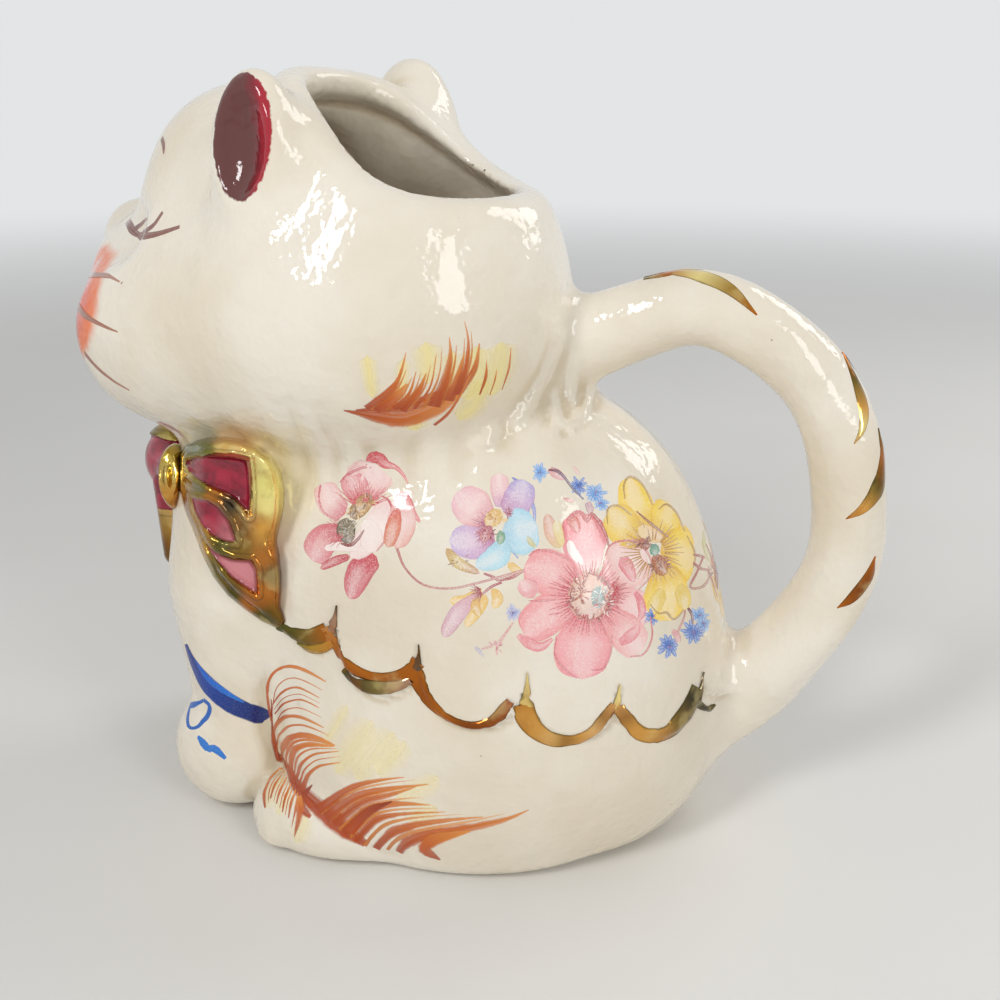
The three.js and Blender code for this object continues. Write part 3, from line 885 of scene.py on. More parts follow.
def ivory_glaze(glaze):
    f = Finish("ivory_glaze")
    warm = f.noise(0.045, 3)
    fine = f.noise(0.35, 4)
    body = f.mix(f.step(warm, 0.3, 0.7), glaze.ivory_light, glaze.ivory_deep)
    # Darker beige where the glaze pools in hollows and creases, partly real pooling and partly painted shade
    pool = f.step(f.attribute("pool"), 0.02, 0.22)
    body = f.mix(pool * 0.55, body, colour("#C9B591"))
    specks = f.node("ShaderNodeTexVoronoi", {}, {"Vector": f.place, "Scale": 0.11})
    body = f.mix(f.step(specks, 0.022, 0.012) * 0.6, body, colour("#6B4A33"))

    # Soft orange sprayed on the whisker pads and the nose
    for middle, half in (WHISKER_PAD, FAR_WHISKER_PAD, NOSE_TIP):
        pad = f.head_oval(middle, half) + (fine - 0.5) * 0.14
        orange = f.mix(f.step(pad, 1.0, 0.6), glaze.nose_orange, colour("#DE4A18"))
        body = f.mix(f.step(pad, 1.22, 1.0), body, orange)

    # Wine enamel in the ear cups, with painted shade and a painted brown reflection towards the front of
    # each
    for side, lift, forward, wide in (
        (1, 0.0, 0.0, 1.0), (-1, RIGHT_EAR_LIFT, RIGHT_EAR_FORWARD, RIGHT_EAR_WIDENING)
    ):
        x, y, z = EAR_CUP[0]
        cup = np.array([x - forward, side * (y + ENAMEL_INSET), z + lift])
        half = tuple(np.array(EAR_CUP[1]) * (wide, 1, 1) + ENAMEL_MARGIN)
        inside = f.head_oval(cup, half) + (f.noise(0.9, 3) - 0.5) * 0.18
        # Painted shade and reflection: the enamel turns brown and dark towards the front of the cup
        painted_shade = f.head_oval(cup - ENAMEL_PAINTED_SHADE_AHEAD, ENAMEL_PAINTED_SHADE) + (f.noise(0.5, 4, 0.6) - 0.5) * 0.25
        enamel = f.ramp(
            painted_shade, (0.4, colour("#643430")), (0.52, colour("#7A1C26")), (0.62, colour("#A8182C"))
        )
        body = f.mix(f.step(inside, 1.03, 0.985), body, enamel)

    ripple = f.noise(0.13, 3, 0.6) + f.noise(0.5, 3) * 0.1
    normal = f.bump(ripple, 0.6, 1.1)
    return f.surface(
        Base_Color=body, Roughness=f.noise(0.3, 4) * 0.06 + 0.045, Normal=normal,
        IOR=1.54, Subsurface_Weight=0.06, Subsurface_Radius=(0.004, 0.003, 0.002), Subsurface_Scale=0.4,
    )


def gold_tone(f, gilt):
    """Gold lustre in the tones laid on it, with painted reflections: pale and copper sweeps, and darker
    olive along the edges of a stroke; a few worn specks.
    """
    run = f.noise(0.16, 3, 0.55)
    # Painted reflections: random sweeps of pale gold and of copper
    tone = f.mix(f.step(run, 0.54, 0.66) * 0.3, f.attribute("tint", "Color"), gilt.pale)
    tone = f.mix(f.step(run, 0.46, 0.36) * 0.3, tone, gilt.copper)
    # Painted dark reflection in olive along the edges of a stroke, where its bead turns away
    side = f.size(f.attribute("across"))
    tone = f.mix(f.step(side + (f.noise(0.6, 3) - 0.5) * 0.3, 0.72, 1.0) * 0.6, tone, gilt.olive)
    worn = f.step(f.noise(1.6, 5, 0.7), 0.69, 0.74)
    return f.mix(worn * 0.6, tone, gilt.olive)


def gold_lustre(gilt):
    f = Finish("gold_lustre")
    tone = gold_tone(f, gilt)
    normal = f.bump(f.noise(0.35, 3, 0.5), 0.3, 0.5)
    return f.surface(Base_Color=tone, Metallic=0.9, Roughness=f.noise(0.8, 4) * 0.14 + 0.05, Normal=normal)


def bow_enamel(gilt, bow):
    """Wine panels in gilded borders. The panel attribute is the depth inside a panel in millimetres."""
    f = Finish("bow_enamel")
    panel = f.attribute("panel") + (f.noise(0.8, 3) - 0.5) * 0.35
    inside = f.step(panel, -0.05, 0.12)
    pink = f.step(f.noise(0.3, 3) * 0.5 + f.attribute("blush"), 0.32, 1.15)
    wine = f.ramp(f.noise(0.35, 5, 0.65), (0.3, bow.wine_deep), (0.6, bow.wine))
    wine = f.mix(pink, wine, bow.pink)
    edge = f.step(panel, 0.55, 0.1)
    wine = f.mix(edge * 0.6, wine, bow.wine_deep)
    # A thin dark brown line round each panel: a painted dark reflection where the gold turns over the ridge
    gold = f.mix(f.step(f.size(panel + 1.15), 0.3, 0.08) * 0.35, gold_tone(f, gilt), colour("#4A3216"))
    body = f.mix(inside, gold, wine)
    rough = f.noise(0.7, 3) * 0.08 + 0.05
    normal = f.bump(f.noise(0.35, 3, 0.5), 0.3, 0.5)
    return f.surface(Base_Color=body, Metallic=0.9 - inside * 0.9, Roughness=rough, Normal=normal, IOR=1.5)


def painted(name, pale, ragged, stipple, soft=0.2, outline=0.0, thin=0.0, full=1.0):
    """On-glaze colour: streaked along each stroke, stippled, and soft at its edges."""
    f = Finish(name)
    tint = f.attribute("tint", "Color")
    across, along = f.attribute("across"), f.attribute("along")
    lane = f.node(
        "ShaderNodeCombineXYZ", {}, {0: across * 3.2, 1: along * 0.8, 2: f.attribute("seed") * 40.0}
    )
    streaks = f.noise(1.0, 4, 0.65, lane)
    grain = f.noise(4.5, 2, 0.6)
    cloud = f.noise(0.55, 3)
    light = f.mix(0.6, tint, colour("#FFF6EC"))
    tone = f.mix(f.step(streaks, 0.36, 0.7) * pale, tint, light)
    tone = f.mix(f.step(grain, 0.5, 0.66) * stipple, tone, colour("#FFF8F2"))
    side = f.size(across)
    if outline:
        deep = f.mix(0.55, tint, tint, "MULTIPLY")
        middle = f.step(side + (cloud - 0.5) * 0.8, 0.7, 0.15) * f.step(along, 0.25, 0.6)
        tone = f.mix(middle * 0.35, tone, colour("#FBF1EA"))
        tone = f.mix(f.step(grain, 0.5, 0.38) * f.step(cloud, 0.62, 0.4) * stipple, tone, deep)
        tone = f.mix(f.step(side + (streaks - 0.5) * 0.4, 0.7, 0.93) * outline, tone, deep)
    cover = f.step(side + (streaks - 0.5) * ragged + (cloud - 0.5) * ragged, 1.0, 1.0 - soft)
    if thin:
        cover = cover * (1.0 - f.step(streaks, 0.42, 0.72) * thin)
    return f.surface(Base_Color=tone, Roughness=0.06, Alpha=cover * full, IOR=1.5)


# Geometry Nodes: strokes laid on the glaze

def add_input(tree, name, kind, default=None):
    socket = tree.interface.new_socket(name=name, in_out="INPUT", socket_type=kind)
    if default is not None:
        socket.default_value = default
    return socket.identifier


def stroke_tree():
    """Lays each path on the glaze as a ribbon of its own width, raised by lift and domed across."""
    tree = bpy.data.node_groups.new("strokes_on_glaze", "GeometryNodeTree")
    tree.interface.new_socket(name="Strokes", in_out="INPUT", socket_type="NodeSocketGeometry")
    names = {
        "glaze": add_input(tree, "Glaze", "NodeSocketObject"),
        "scale": add_input(tree, "Width scale", "NodeSocketFloat", 1.0),
        "lift": add_input(tree, "Lift", "NodeSocketFloat", 0.05 * MM),
        "dome": add_input(tree, "Dome", "NodeSocketFloat", 0.03 * MM),
        "spacing": add_input(tree, "Spacing", "NodeSocketFloat", 0.9 * MM),
        "columns": add_input(tree, "Columns", "NodeSocketInt", 5),
        "material": add_input(tree, "Finish", "NodeSocketMaterial"),
    }
    tree.interface.new_socket(name="Painted", in_out="OUTPUT", socket_type="NodeSocketGeometry")
    b = Bench(tree)
    given = b.node("NodeGroupInput")
    glaze = b.node("GeometryNodeObjectInfo", {}, {"Object": given.of("Glaze")}, "Geometry")
    lines = b.node("GeometryNodeMeshToCurve", {}, {"Mesh": given})
    lines = b.node(
        "GeometryNodeResampleCurve", {"mode": "LENGTH"}, {"Curve": lines, "Length": given.of("Spacing")}
    )

    def glaze_way():
        facing = b.node("GeometryNodeInputNormal")
        settings = {"data_type": "FLOAT_VECTOR"}
        place = b.node("GeometryNodeInputPosition")
        return b.node(
            "GeometryNodeSampleNearestSurface", settings,
            {"Mesh": glaze, "Value": facing, "Sample Position": place},
        )

    def stored(name):
        return b.node("GeometryNodeInputNamedAttribute", {"data_type": "FLOAT"}, {"Name": name})

    lines = b.node("GeometryNodeSetCurveNormal", {"mode": "FREE"}, {"Curve": lines, "Normal": glaze_way()})
    bar = b.node("GeometryNodeCurvePrimitiveLine", {}, {"Start": (0, -1, 0), "End": (0, 1, 0)})
    bar = b.node("GeometryNodeResampleCurve", {}, {"Curve": bar, "Count": given.of("Columns")})
    share = b.node("GeometryNodeSplineParameter", {}, {}, "Factor") * 2.0 - 1.0
    bar = b.node(
        "GeometryNodeStoreNamedAttribute", {"data_type": "FLOAT"},
        {"Geometry": bar, "Name": "across", "Value": share},
    )
    width = stored("half_width") * given.of("Width scale")
    sheet = b.node(
        "GeometryNodeCurveToMesh", {},
        {"Curve": lines, "Profile Curve": bar, "Scale": width, "Fill Caps": False},
    )
    across = stored("across")
    rise = (1.0 - across * across) * given.of("Dome") + given.of("Lift") + stored("layer")
    below = b.node("GeometryNodeProximity", {"target_element": "FACES"}, {"Target": glaze})
    raised_by = b.node("ShaderNodeVectorMath", {"operation": "SCALE"}, {0: glaze_way(), "Scale": rise})
    place = b.node("ShaderNodeVectorMath", {"operation": "ADD"}, {0: below, 1: raised_by})
    sheet = b.node("GeometryNodeSetPosition", {}, {"Geometry": sheet, "Position": place})
    sheet = b.node("GeometryNodeSetShadeSmooth", {}, {"Geometry": sheet})
    sheet = b.node("GeometryNodeRealizeInstances", {}, {"Geometry": sheet})
    sheet = b.node("GeometryNodeSetMaterial", {}, {"Geometry": sheet, "Material": given.of("Finish")})
    b.node("NodeGroupOutput", {}, {0: sheet})
    return tree, names


def outer(p):
    """The jug's outside without its openings, for placing the painting."""
    return np.minimum(np.minimum(skin(p), paws(p)), tail(p))


def other_side(p, by_head):
    flip = np.array([1.0, -1.0, 1.0])
    return out_of_head(in_head(p) * flip) if by_head else p * flip


# Strokes lie over one another by their layer, and by a hair in turns, so that no two share a surface.
# A stroke seen at a grazing angle comes out wider on the jug, up to this many times its plain width.
LAYER_RISE = 3.0
TURN_RISE = 0.005
TURNS = 12
SEED_STRIDE = 0.37
WIDEST = 1.7
SMALL_PETALS = 13


class Brushwork:
    """Strokes of one painted piece, drawn as picture points and carried over onto the jug."""

    def __init__(self, seed):
        self.drawn = []
        self.chance = np.random.default_rng(seed)

    def stroke(self, points, widths, tints, layer=0.0, steps=4):
        """A smooth line with a half-width in pixels at each of its points, tinted from first to last."""
        at = np.linspace(0, 1, len(points))
        half = np.interp(at, np.linspace(0, 1, len(widths)), widths)
        line = spline(np.column_stack([np.array(points, float), half]), steps)
        share = np.linspace(0, 1, len(line))
        tones = np.array([colour(code)[:3] for code in tints])
        tone = np.stack([np.interp(share, np.linspace(0, 1, len(tones)), tones[:, k]) for k in range(3)], -1)
        self.drawn.append((line[:, :2], np.maximum(line[:, 2], 0.2), tone, share, layer))

    def band(self, upper, lower, tints, layer=0.0):
        """A stroke between two edges drawn from the same end."""
        edges = []
        for edge in (upper, lower):
            line = spline(edge, 6)
            run = np.concatenate([[0], np.cumsum(np.linalg.norm(np.diff(line, axis=0), axis=1))])
            at = np.linspace(0, run[-1], 26)
            edges.append(np.stack([np.interp(at, run, line[:, k]) for k in (0, 1)], -1))
        middle = (edges[0] + edges[1]) / 2
        self.stroke(middle, np.linalg.norm(edges[0] - edges[1], axis=1) / 2, tints, layer, 1)

    def fan(self, strokes, tints, between, layer=0.03):
        """Neighbouring strokes, with a finer one of another tint between each two."""
        at = np.linspace(0, 1, 7)
        lines = []
        for points, widths in strokes:
            line = spline(points, 6)
            share = np.linspace(0, 1, len(line))
            line = np.stack([np.interp(at, share, line[:, k]) for k in (0, 1)], -1)
            lines.append((line, np.interp(at, np.linspace(0, 1, len(widths)), widths)))
        for (a, half_a), (b, half_b) in zip(lines[:-1], lines[1:]):
            t = 0.5 + self.chance.uniform(-0.08, 0.08)
            half = (half_a + t * (half_b - half_a)) * 0.45
            self.stroke(a + t * (b - a), half, between, layer - 0.01, 3)
        for line, half in lines:
            self.stroke(line, half, tints, layer, 3)

    def petal(self, points, widths, tints, layer=0.0):
        """A petal or leaf from its base to its tip, with round ends."""
        self.stroke(points, widths, tints, layer, 9)
        line, half, tone, share, _ = self.drawn[-1]
        ends = np.clip(np.minimum(share / 0.12, (1 - share) / 0.16), 0.0, 1.0)
        self.drawn[-1] = (line, half * np.maximum(np.sqrt(1 - (1 - ends) ** 2), 0.05), tone, share, layer)

    def dots(self, centre, spread, count, size, tints, layer=0.02):
        """Short dabs scattered round a centre."""
        for _ in range(count):
            angle, out = self.chance.uniform(0, 2 * math.pi), math.sqrt(self.chance.random())
            at = np.array(centre) + out * np.array(spread) * (math.cos(angle), math.sin(angle))
            way = size * 1.3 * np.array((math.cos(angle), math.sin(angle)))
            tint = tints[self.chance.integers(len(tints))]
            self.stroke([at - way, at, at + way], [0.4 * size, size, 0.4 * size], [tint], layer, 2)

    def rays(self, centre, inner, outer_reach, count, size, tint, start=0.0, turn=360.0):
        """Fine lines that run out from a centre."""
        for k in range(count):
            angle = math.radians(start + turn * (k + self.chance.uniform(-0.3, 0.3)) / count)
            way = np.array((math.cos(angle), math.sin(angle)))
            reach = outer_reach * self.chance.uniform(0.7, 1.0)
            points = [
                np.array(centre) + way * inner, np.array(centre) + way * (inner + reach) / 2 * 1.02,
                np.array(centre) + way * reach,
            ]
            self.stroke(points, [size, size * 0.8, size * 0.3], [tint], 0.02, 3)

    def lines(self, routes, widths, tints):
        """Fine lines of one kind over the petals."""
        for points in routes:
            self.stroke(points, widths, tints, 0.02)

    def ring(self, centre, reach, count, size, tints, layer):
        """Small clusters of dabs round an oval."""
        for k in range(count):
            angle = 2 * math.pi * k / count
            at = (centre[0] + reach[0] * math.cos(angle), centre[1] + reach[1] * math.sin(angle))
            self.dots(at, (3, 3), 4, size, tints, layer)

    def small_flower(self, at, size, tints):
        """Narrow petals of uneven length round a few dabs."""
        for k in range(SMALL_PETALS):
            angle = 2 * math.pi * (k + self.chance.uniform(-0.3, 0.3)) / SMALL_PETALS
            way = size * self.chance.uniform(0.55, 1.0) * np.array((math.cos(angle), math.sin(angle)))
            self.stroke([at, np.array(at) + way * 0.6, np.array(at) + way], [0.8, size * 0.15, 0.9], tints)
        self.dots(at, (2.2, 2.2), 4, 1.1, ["#A05C9C", "#4C5498"], 0.03)

    def draw(self, rows):
        """Rows of marks in their order: how each is made, and then what it is made with."""
        for mark, *values in rows:
            mark(self, *values)

    def lay(self, name, tree, names, material, slot_name, *nodes, far="none", near=True, **sizes):
        """Turns the strokes into one plain mesh on the glaze.

        far says whose middle plane mirrors them onto the far side: the body's, the head's or none's.
        near says whether they are laid on the photographed side.
        """
        pixels = np.concatenate([line for line, *_ in self.drawn])
        ways = np.concatenate([np.gradient(line, axis=0) for line, *_ in self.drawn])
        ways /= np.maximum(np.linalg.norm(ways, axis=1, keepdims=True), 1e-6)
        widths = np.concatenate([width for _, width, *_ in self.drawn])
        across = np.stack([-ways[:, 1], ways[:, 0]], -1) * np.maximum(widths, 0.5)[:, None]
        place = touched(np.concatenate([pixels, pixels + across, pixels - across]), outer)
        place, one, two = np.split(place, 3)
        plain = widths * ((place - EYE_PLACE) @ AHEAD) / FOCAL_PIXELS
        width = np.linalg.norm(one - two, axis=1) / 2 * widths / np.maximum(widths, 0.5)
        width = np.clip(width, plain, WIDEST * plain)
        counts = [len(line) for line, *_ in self.drawn]
        sides = [place] * near + [other_side(place, far == "head")] * (far != "none")
        tone = np.concatenate([part[2] for part in self.drawn])
        share = np.concatenate([part[3] for part in self.drawn])
        rises = [LAYER_RISE * part[4] + TURN_RISE * (k % TURNS) for k, part in enumerate(self.drawn)]
        layers = np.repeat(rises, counts)
        seeds = np.repeat([(k * SEED_STRIDE) % 1 for k in range(len(counts))], counts)
        times = len(sides)
        counts = counts * times
        starts = np.cumsum([0] + counts[:-1])
        edges = [(s + i, s + i + 1) for s, n in zip(starts, counts) for i in range(n - 1)]
        paths = link(name + "_paths", np.concatenate(sides), [], edges=edges)
        tag(paths, "half_width", np.tile(width * MM, times))
        tag(paths, "along", np.tile(share, times))
        tag(paths, "layer", np.tile(layers * MM, times))
        tag(paths, "seed", np.tile(seeds, times))
        tag(paths, "tint", np.tile(np.hstack([tone, np.ones((len(tone), 1))]), (times, 1)), "FLOAT_COLOR")
        brush = paths.modifiers.new("strokes", "NODES")
        brush.node_group = tree
        brush[names["glaze"]] = bpy.data.objects["glazed_body"]
        brush[names["material"]] = material
        for key, value in sizes.items():
            brush[names[key]] = value
        bpy.context.view_layer.update()
        ready = paths.evaluated_get(bpy.context.evaluated_depsgraph_get())
        mesh = bpy.data.meshes.new_from_object(ready)
        mesh.name = name
        made = bpy.data.objects.new(name, mesh)
        bpy.context.scene.collection.objects.link(made)
        bpy.data.objects.remove(paths)
        made.visible_shadow = made.visible_diffuse = bool(nodes)
        settle_on_jug(made, slot_name, *nodes)


def tone_property(name, description, code):
    return FloatVectorProperty(
        name=name, description=description, default=colour(code), subtype="COLOR", size=4, min=0, max=1,
    )


class JugGlazeSettings(PropertyGroup):
    pitch: FloatProperty(
        name="Pitch", description="Size of a cell of the glazed body's mesh", default=1.0 * MM,
        unit="LENGTH",
    )
    ivory_light: tone_property("Light ivory", "Ivory glaze where it is thin", "#EFE7D8")
    ivory_deep: tone_property("Deep ivory", "Ivory glaze where it is thick", "#E4D8C2")
    nose_orange: tone_property("Nose orange", "Colour sprayed round the nose", "#EC722E")


class JugGiltSettings(PropertyGroup):
    # Pale gold is a painted highlight; copper and olive are painted reflections of darker things
    pale: tone_property("Pale gold", "Brightest gold lustre", "#F2DC95")
    copper: tone_property("Copper", "Gold lustre where it is thin", "#A65F22")
    olive: tone_property("Olive", "Dark glint in the gold lustre", "#4E4418")


class JugBowSettings(PropertyGroup):
    pitch: FloatProperty(
        name="Pitch", description="Size of a cell of the bow's meshes", default=0.5 * MM, unit="LENGTH",
    )
    wine: tone_property("Wine", "Crimson enamel of the bow", "#A81C3A")
    wine_deep: tone_property("Deep wine", "Crimson enamel where it is thick", "#5C0F1C")
    pink: tone_property("Pink", "Crimson enamel where it is thin", "#D4868C")


class JugStageSettings(PropertyGroup):
    floor: tone_property("Floor", "Colour of the studio floor", "#E6E4E0")
    backdrop: tone_property("Backdrop", "Colour behind the floor", "#E3E5E6")
    key: FloatProperty(name="Key light", description="Power of the main lamp", default=1.15, unit="POWER")


# Painted reflections in the gold of the bow: picture points and the tone round each, pale gold for bright
# reflections, olive and brown for darker ones
GOLD_PAINTED_REFLECTIONS = [
    ((190, 444), "#5E641C"), ((206, 445), "#6A7420"), ((222, 444), "#E2B868"), ((240, 447), "#F0C880"),
    ((258, 455), "#F6E294"), ((270, 464), "#FFF49C"), ((272, 482), "#FFF694"), ((267, 505), "#FFF098"),
    ((262, 528), "#E0A850"), ((252, 522), "#B5702E"), ((243, 528), "#6E4A28"), ((228, 505), "#4C4436"),
    ((200, 488), "#7C7430"), ((212, 494), "#C07A34"), ((222, 545), "#5E5A28"), ((240, 550), "#8A6A2E"),
    ((262, 560), "#B87434"), ((272, 575), "#6A4A2C"), ((262, 592), "#C47A34"), ((250, 600), "#B86E2C"),
    ((189, 520), "#B98A3C"), ((198, 545), "#C99A48"), ((210, 574), "#6E6428"), ((232, 598), "#4E4C1E"),
    ((262, 618), "#56521F"), ((172, 455), "#C4A84C"), ((172, 474), "#E2C874"), ((168, 495), "#CC9444"),
    ((176, 505), "#B0702E"), ((148, 445), "#625424"), ((146, 475), "#5E4620"), ((158, 520), "#A8823C"),
    ((156, 550), "#6E4A26"),
]
GOLD_REFLECTION_SPREAD = 16
GOLD_REFLECTION_FALL = 1.6


def lustre(spots):
    """Painted reflections in the gold at picture points, run together between the places that are named."""
    total, share = np.zeros((len(spots), 3)), np.zeros(len(spots))
    for at, code in GOLD_PAINTED_REFLECTIONS:
        weight = 1 / (((spots - np.array(at)) ** 2).sum(-1) + GOLD_REFLECTION_SPREAD) ** GOLD_REFLECTION_FALL
        total += weight[:, None] * np.array(colour(code)[:3])
        share += weight
    return total / share[:, None]


BODY_LOW = (-63.3, -36.1, -2.1)
BODY_HIGH = (74.0, 36.0, 124.5)
POOL_SHADE_REACH = 1.0


class JugGlazedBody(Operator):
    """Makes the glazed body, head, ears, paws and tail in one skin"""
    bl_idname = "jug.glazed_body"
    bl_label = "Glazed body"

    def execute(self, context):
        glaze = context.scene.jug_glaze
        pitch = glaze.pitch / MM * 1.0
        points, quads = net(glazed, BODY_LOW, BODY_HIGH, pitch)
        made = link("glazed_body", points, quads, glazed)
        # Glaze pools in hollows, where the field's mean value a little way round a point is below zero. The
        # darker tone given there is partly painted shade of the hollows.
        tag(made, "pool", np.clip(-slope(glazed, points, POOL_SHADE_REACH)[0], -1, 1))
        made.data.materials.append(ivory_glaze(glaze))
        settle_on_jug(
            made, "ivory_glaze", "body_shell", "tail_handle", "ear_left", "ear_right",
            "forepaw_left", "forepaw_right", "hind_paw_left", "hind_paw_right",
        )
        return {"FINISHED"}


class JugBow(Operator):
    """Makes the knot, the loops and the ribbon ends of the bow"""
    bl_idname = "jug.bow"
    bl_label = "Bow"

    def execute(self, context):
        gilt, bow = context.scene.jug_gilt, context.scene.jug_bow
        pitch = bow.pitch / MM
        enamel, gold = bow_enamel(gilt, bow), gold_lustre(gilt)
        parts = {
            "bow_knot_gilt": (knot, gold, (-52, -18, 46), (-36, 0, 66), "bow_knot", "gilt"),
            "bow_loop_far": (
                right_loop, enamel, (-60, -8, 47), (-27, 25, 68), "bow_loop_right", "wine_glaze"
            ),
            "bow_ribbon_far": (
                right_ribbon, enamel, (-55, -4, 33), (-44, 8, 57), "bow_ribbon_right", "wine_glaze"
            ),
            "bow_near": (near_bow, enamel, (-50, -30, 34), (-17, -6, 69), "bow_loop_left", "wine_glaze"),
        }
        for name, (field, material, low, high, node, slot_name) in parts.items():
            points, quads = net(lambda p: np.maximum(field(p), -skin(p) - BOW_SEAT), low, high, pitch)
            made = link(name, points, quads, field)
            spots = seen(points)
            depth = panel_depth(spots) if name == "bow_near" else far_panels(points)
            tag(made, "panel", depth / PIXELS_PER_MM)
            rightward = 0.35 + 0.65 * ease(spots[:, 0], *BLUSH_COLUMNS)
            tag(made, "blush", ease(spots[:, 1], *BLUSH_ROWS) * rightward)
            # The tint is the gold's painted reflections at each point, pale for bright ones and olive or
            # brown for darker ones
            tag(made, "tint", np.hstack([lustre(spots), np.ones((len(spots), 1))]), "FLOAT_COLOR")
            made.data.materials.append(material)
            nodes = (node, "bow_ribbon_left") if name == "bow_near" else (node,)
            settle_on_jug(made, slot_name, *nodes)
        return {"FINISHED"}


# Tones of gold along the gilded strokes; they are painted reflections, light for bright things and dark for
# darker ones
AMBER = "#B96A22"
GLOW = "#DDA352"
PALE = "#F5DF94"
OLIVE = "#5E5A28"
DARK = "#46402F"
TAN = "#B48C70"
RUSSET = "#8A4A1E"

# The gilded hem as the picture shows it: upper edge, lower edge and tones of each scallop and of the painted
# shade below two of them, then the middle line, half-widths and tones of the spire at each cusp
HEM_SCALLOPS = [
    (
        [(278, 620), (286, 624), (296, 627), (310, 628), (318, 625), (327, 621)],
        [(276, 630), (285, 635), (296, 642), (310, 645), (322, 643), (332, 640)],
        [OLIVE, OLIVE, "#8A6A30", AMBER],
    ),
    (
        [
            (330, 622), (337, 640), (343, 650), (351, 659), (361, 666),
            (373, 671), (387, 672), (400, 669), (410, 663), (417, 653),
        ],
        [
            (322, 630), (333, 652), (340, 664), (350, 671), (361, 677),
            (374, 681), (390, 682), (404, 680), (414, 675), (422, 668),
        ],
        ["#C98A4A", AMBER, AMBER, "#A85C1E", AMBER],
    ),
    (
        [
            (417, 660), (424, 672), (428, 686), (435, 699), (447, 711), (462, 718),
            (475, 720), (487, 717), (495, 711), (502, 702), (509, 696),
        ],
        [
            (408, 676), (411, 686), (418, 699), (430, 712), (443, 721), (458, 727),
            (472, 729), (486, 728), (496, 724), (505, 715), (512, 704),
        ],
        [AMBER, "#A85C1E", AMBER, RUSSET, "#9A5420", "#B06A48"],
    ),
    (
        [
            (533, 700), (536, 709), (540, 718), (547, 728), (557, 734), (570, 735),
            (583, 731), (594, 723), (601, 713), (607, 705), (611, 700),
        ],
        [
            (514, 706), (515, 718), (521, 730), (534, 740), (549, 746), (565, 747),
            (581, 744), (594, 736), (604, 724), (610, 714), (615, 708),
        ],
        ["#C98A3C", GLOW, GLOW, "#E8B870", "#A87A3C", GLOW, "#E8B878", "#A87840", "#D9A060"],
    ),
    (
        [
            (620, 700), (628, 708), (634, 717), (642, 725), (652, 728),
            (664, 726), (676, 718), (686, 706), (694, 692), (698, 680),
        ],
        [
            (612, 712), (618, 720), (627, 731), (637, 741), (649, 744),
            (661, 743), (672, 735), (683, 722), (691, 709), (696, 697),
        ],
        ["#D9A060", "#A87840", GLOW, GLOW, "#C08A48", "#8A7038", "#6E5A38", DARK, DARK],
    ),
]
HEM_SHADES = [
    (
        [(297, 640), (310, 643), (322, 641), (333, 637)],
        [(298, 645), (307, 654), (320, 655), (333, 648)],
        ["#7E7A34", "#C9A040", "#D08A3C"],
    ),
    (
        [(341, 668), (352, 674), (366, 679), (384, 680), (398, 679), (410, 676)],
        [(343, 673), (352, 685), (366, 692), (384, 693), (398, 690), (411, 684)],
        [OLIVE, DARK, "#6A5A34", "#8A7A44", TAN, TAN],
    ),
]
HEM_SPIRES = [
    ([(339, 604), (337, 616), (333, 630)], [0.3, 2.2, 7], [DARK, TAN, TAN]),
    ([(420, 643), (420, 655), (417, 668)], [0.3, 1.8, 7], [DARK, DARK, "#6A5A4A"]),
    ([(527, 671), (527, 686), (526, 705)], [0.3, 2.6, 8], [PALE, PALE, "#E8C878"]),
    ([(618, 683), (617, 696), (615, 708)], [0.3, 3, 7.5], [PALE, PALE, "#E8BC70"]),
    ([(700, 671), (699, 685), (697, 699)], [0.3, 2, 4.5], ["#8A7A6A", "#6A6052", DARK]),
    (
        [(697, 692), (699, 702), (706, 708), (712, 709), (716, 705)], [3.5, 4, 3, 2.5, 0.6],
        [OLIVE, DARK, OLIVE],
    ),
]

# The gilt marks across the tail, their tones painted reflections like the hem's
TAIL_MARKS = [
    (
        [(644, 277), (668, 272), (700, 275), (730, 289), (757, 315)], [0.6, 4, 6, 6, 1],
        [OLIVE, AMBER, PALE, "#B08A40", AMBER],
    ),
    (
        [(842, 352), (855, 378), (864, 408), (862, 430), (854, 444)], [0.6, 4, 5, 3.5, 0.5],
        [AMBER, OLIVE, GLOW, PALE, AMBER],
    ),
    (
        [(878, 428), (883, 455), (880, 485), (864, 508), (846, 519)], [0.6, 5, 7, 5, 0.6],
        [OLIVE, AMBER, OLIVE, GLOW, AMBER],
    ),
    ([(875, 556), (868, 578), (852, 598), (837, 608)], [0.5, 5, 5, 0.5], [AMBER, RUSSET, AMBER]),
]


def hem_gold(hem):
    for upper, lower, tints in HEM_SCALLOPS:
        hem.band(upper, lower, tints)
    for upper, lower, tints in HEM_SHADES:
        hem.band(upper, lower, tints, 0.03)
    for points, widths, tints in HEM_SPIRES:
        hem.stroke(points, widths, tints, layer=0.02)


class JugGilding(Operator):
    """Lays the gold on the scalloped hem of the cape and on the tail"""
    bl_idname = "jug.gilding"
    bl_label = "Gilding"

    def execute(self, context):
        gold = gold_lustre(context.scene.jug_gilt)
        tree, names = stroke_tree()
        for side, node in (("left", "hem_left"), ("right", "hem_right")):
            hem = Brushwork(3)
            hem_gold(hem)
            hem.lay(
                "gilt_hem_" + side, tree, names, gold, "gilt", node,
                far="none" if side == "left" else "body", near=side == "left",
                lift=0.03 * MM, dome=0.35 * MM, columns=9, spacing=0.6 * MM,
            )
        roll = Brushwork(4)
        for points, widths, tints in TAIL_MARKS:
            roll.stroke(points, widths, tints)
        roll.lay(
            "tail_gilding", tree, names, gold, "gilt", far="body", lift=0.02 * MM, dome=0.14 * MM,
            columns=7, spacing=0.6 * MM,
        )
        return {"FINISHED"}


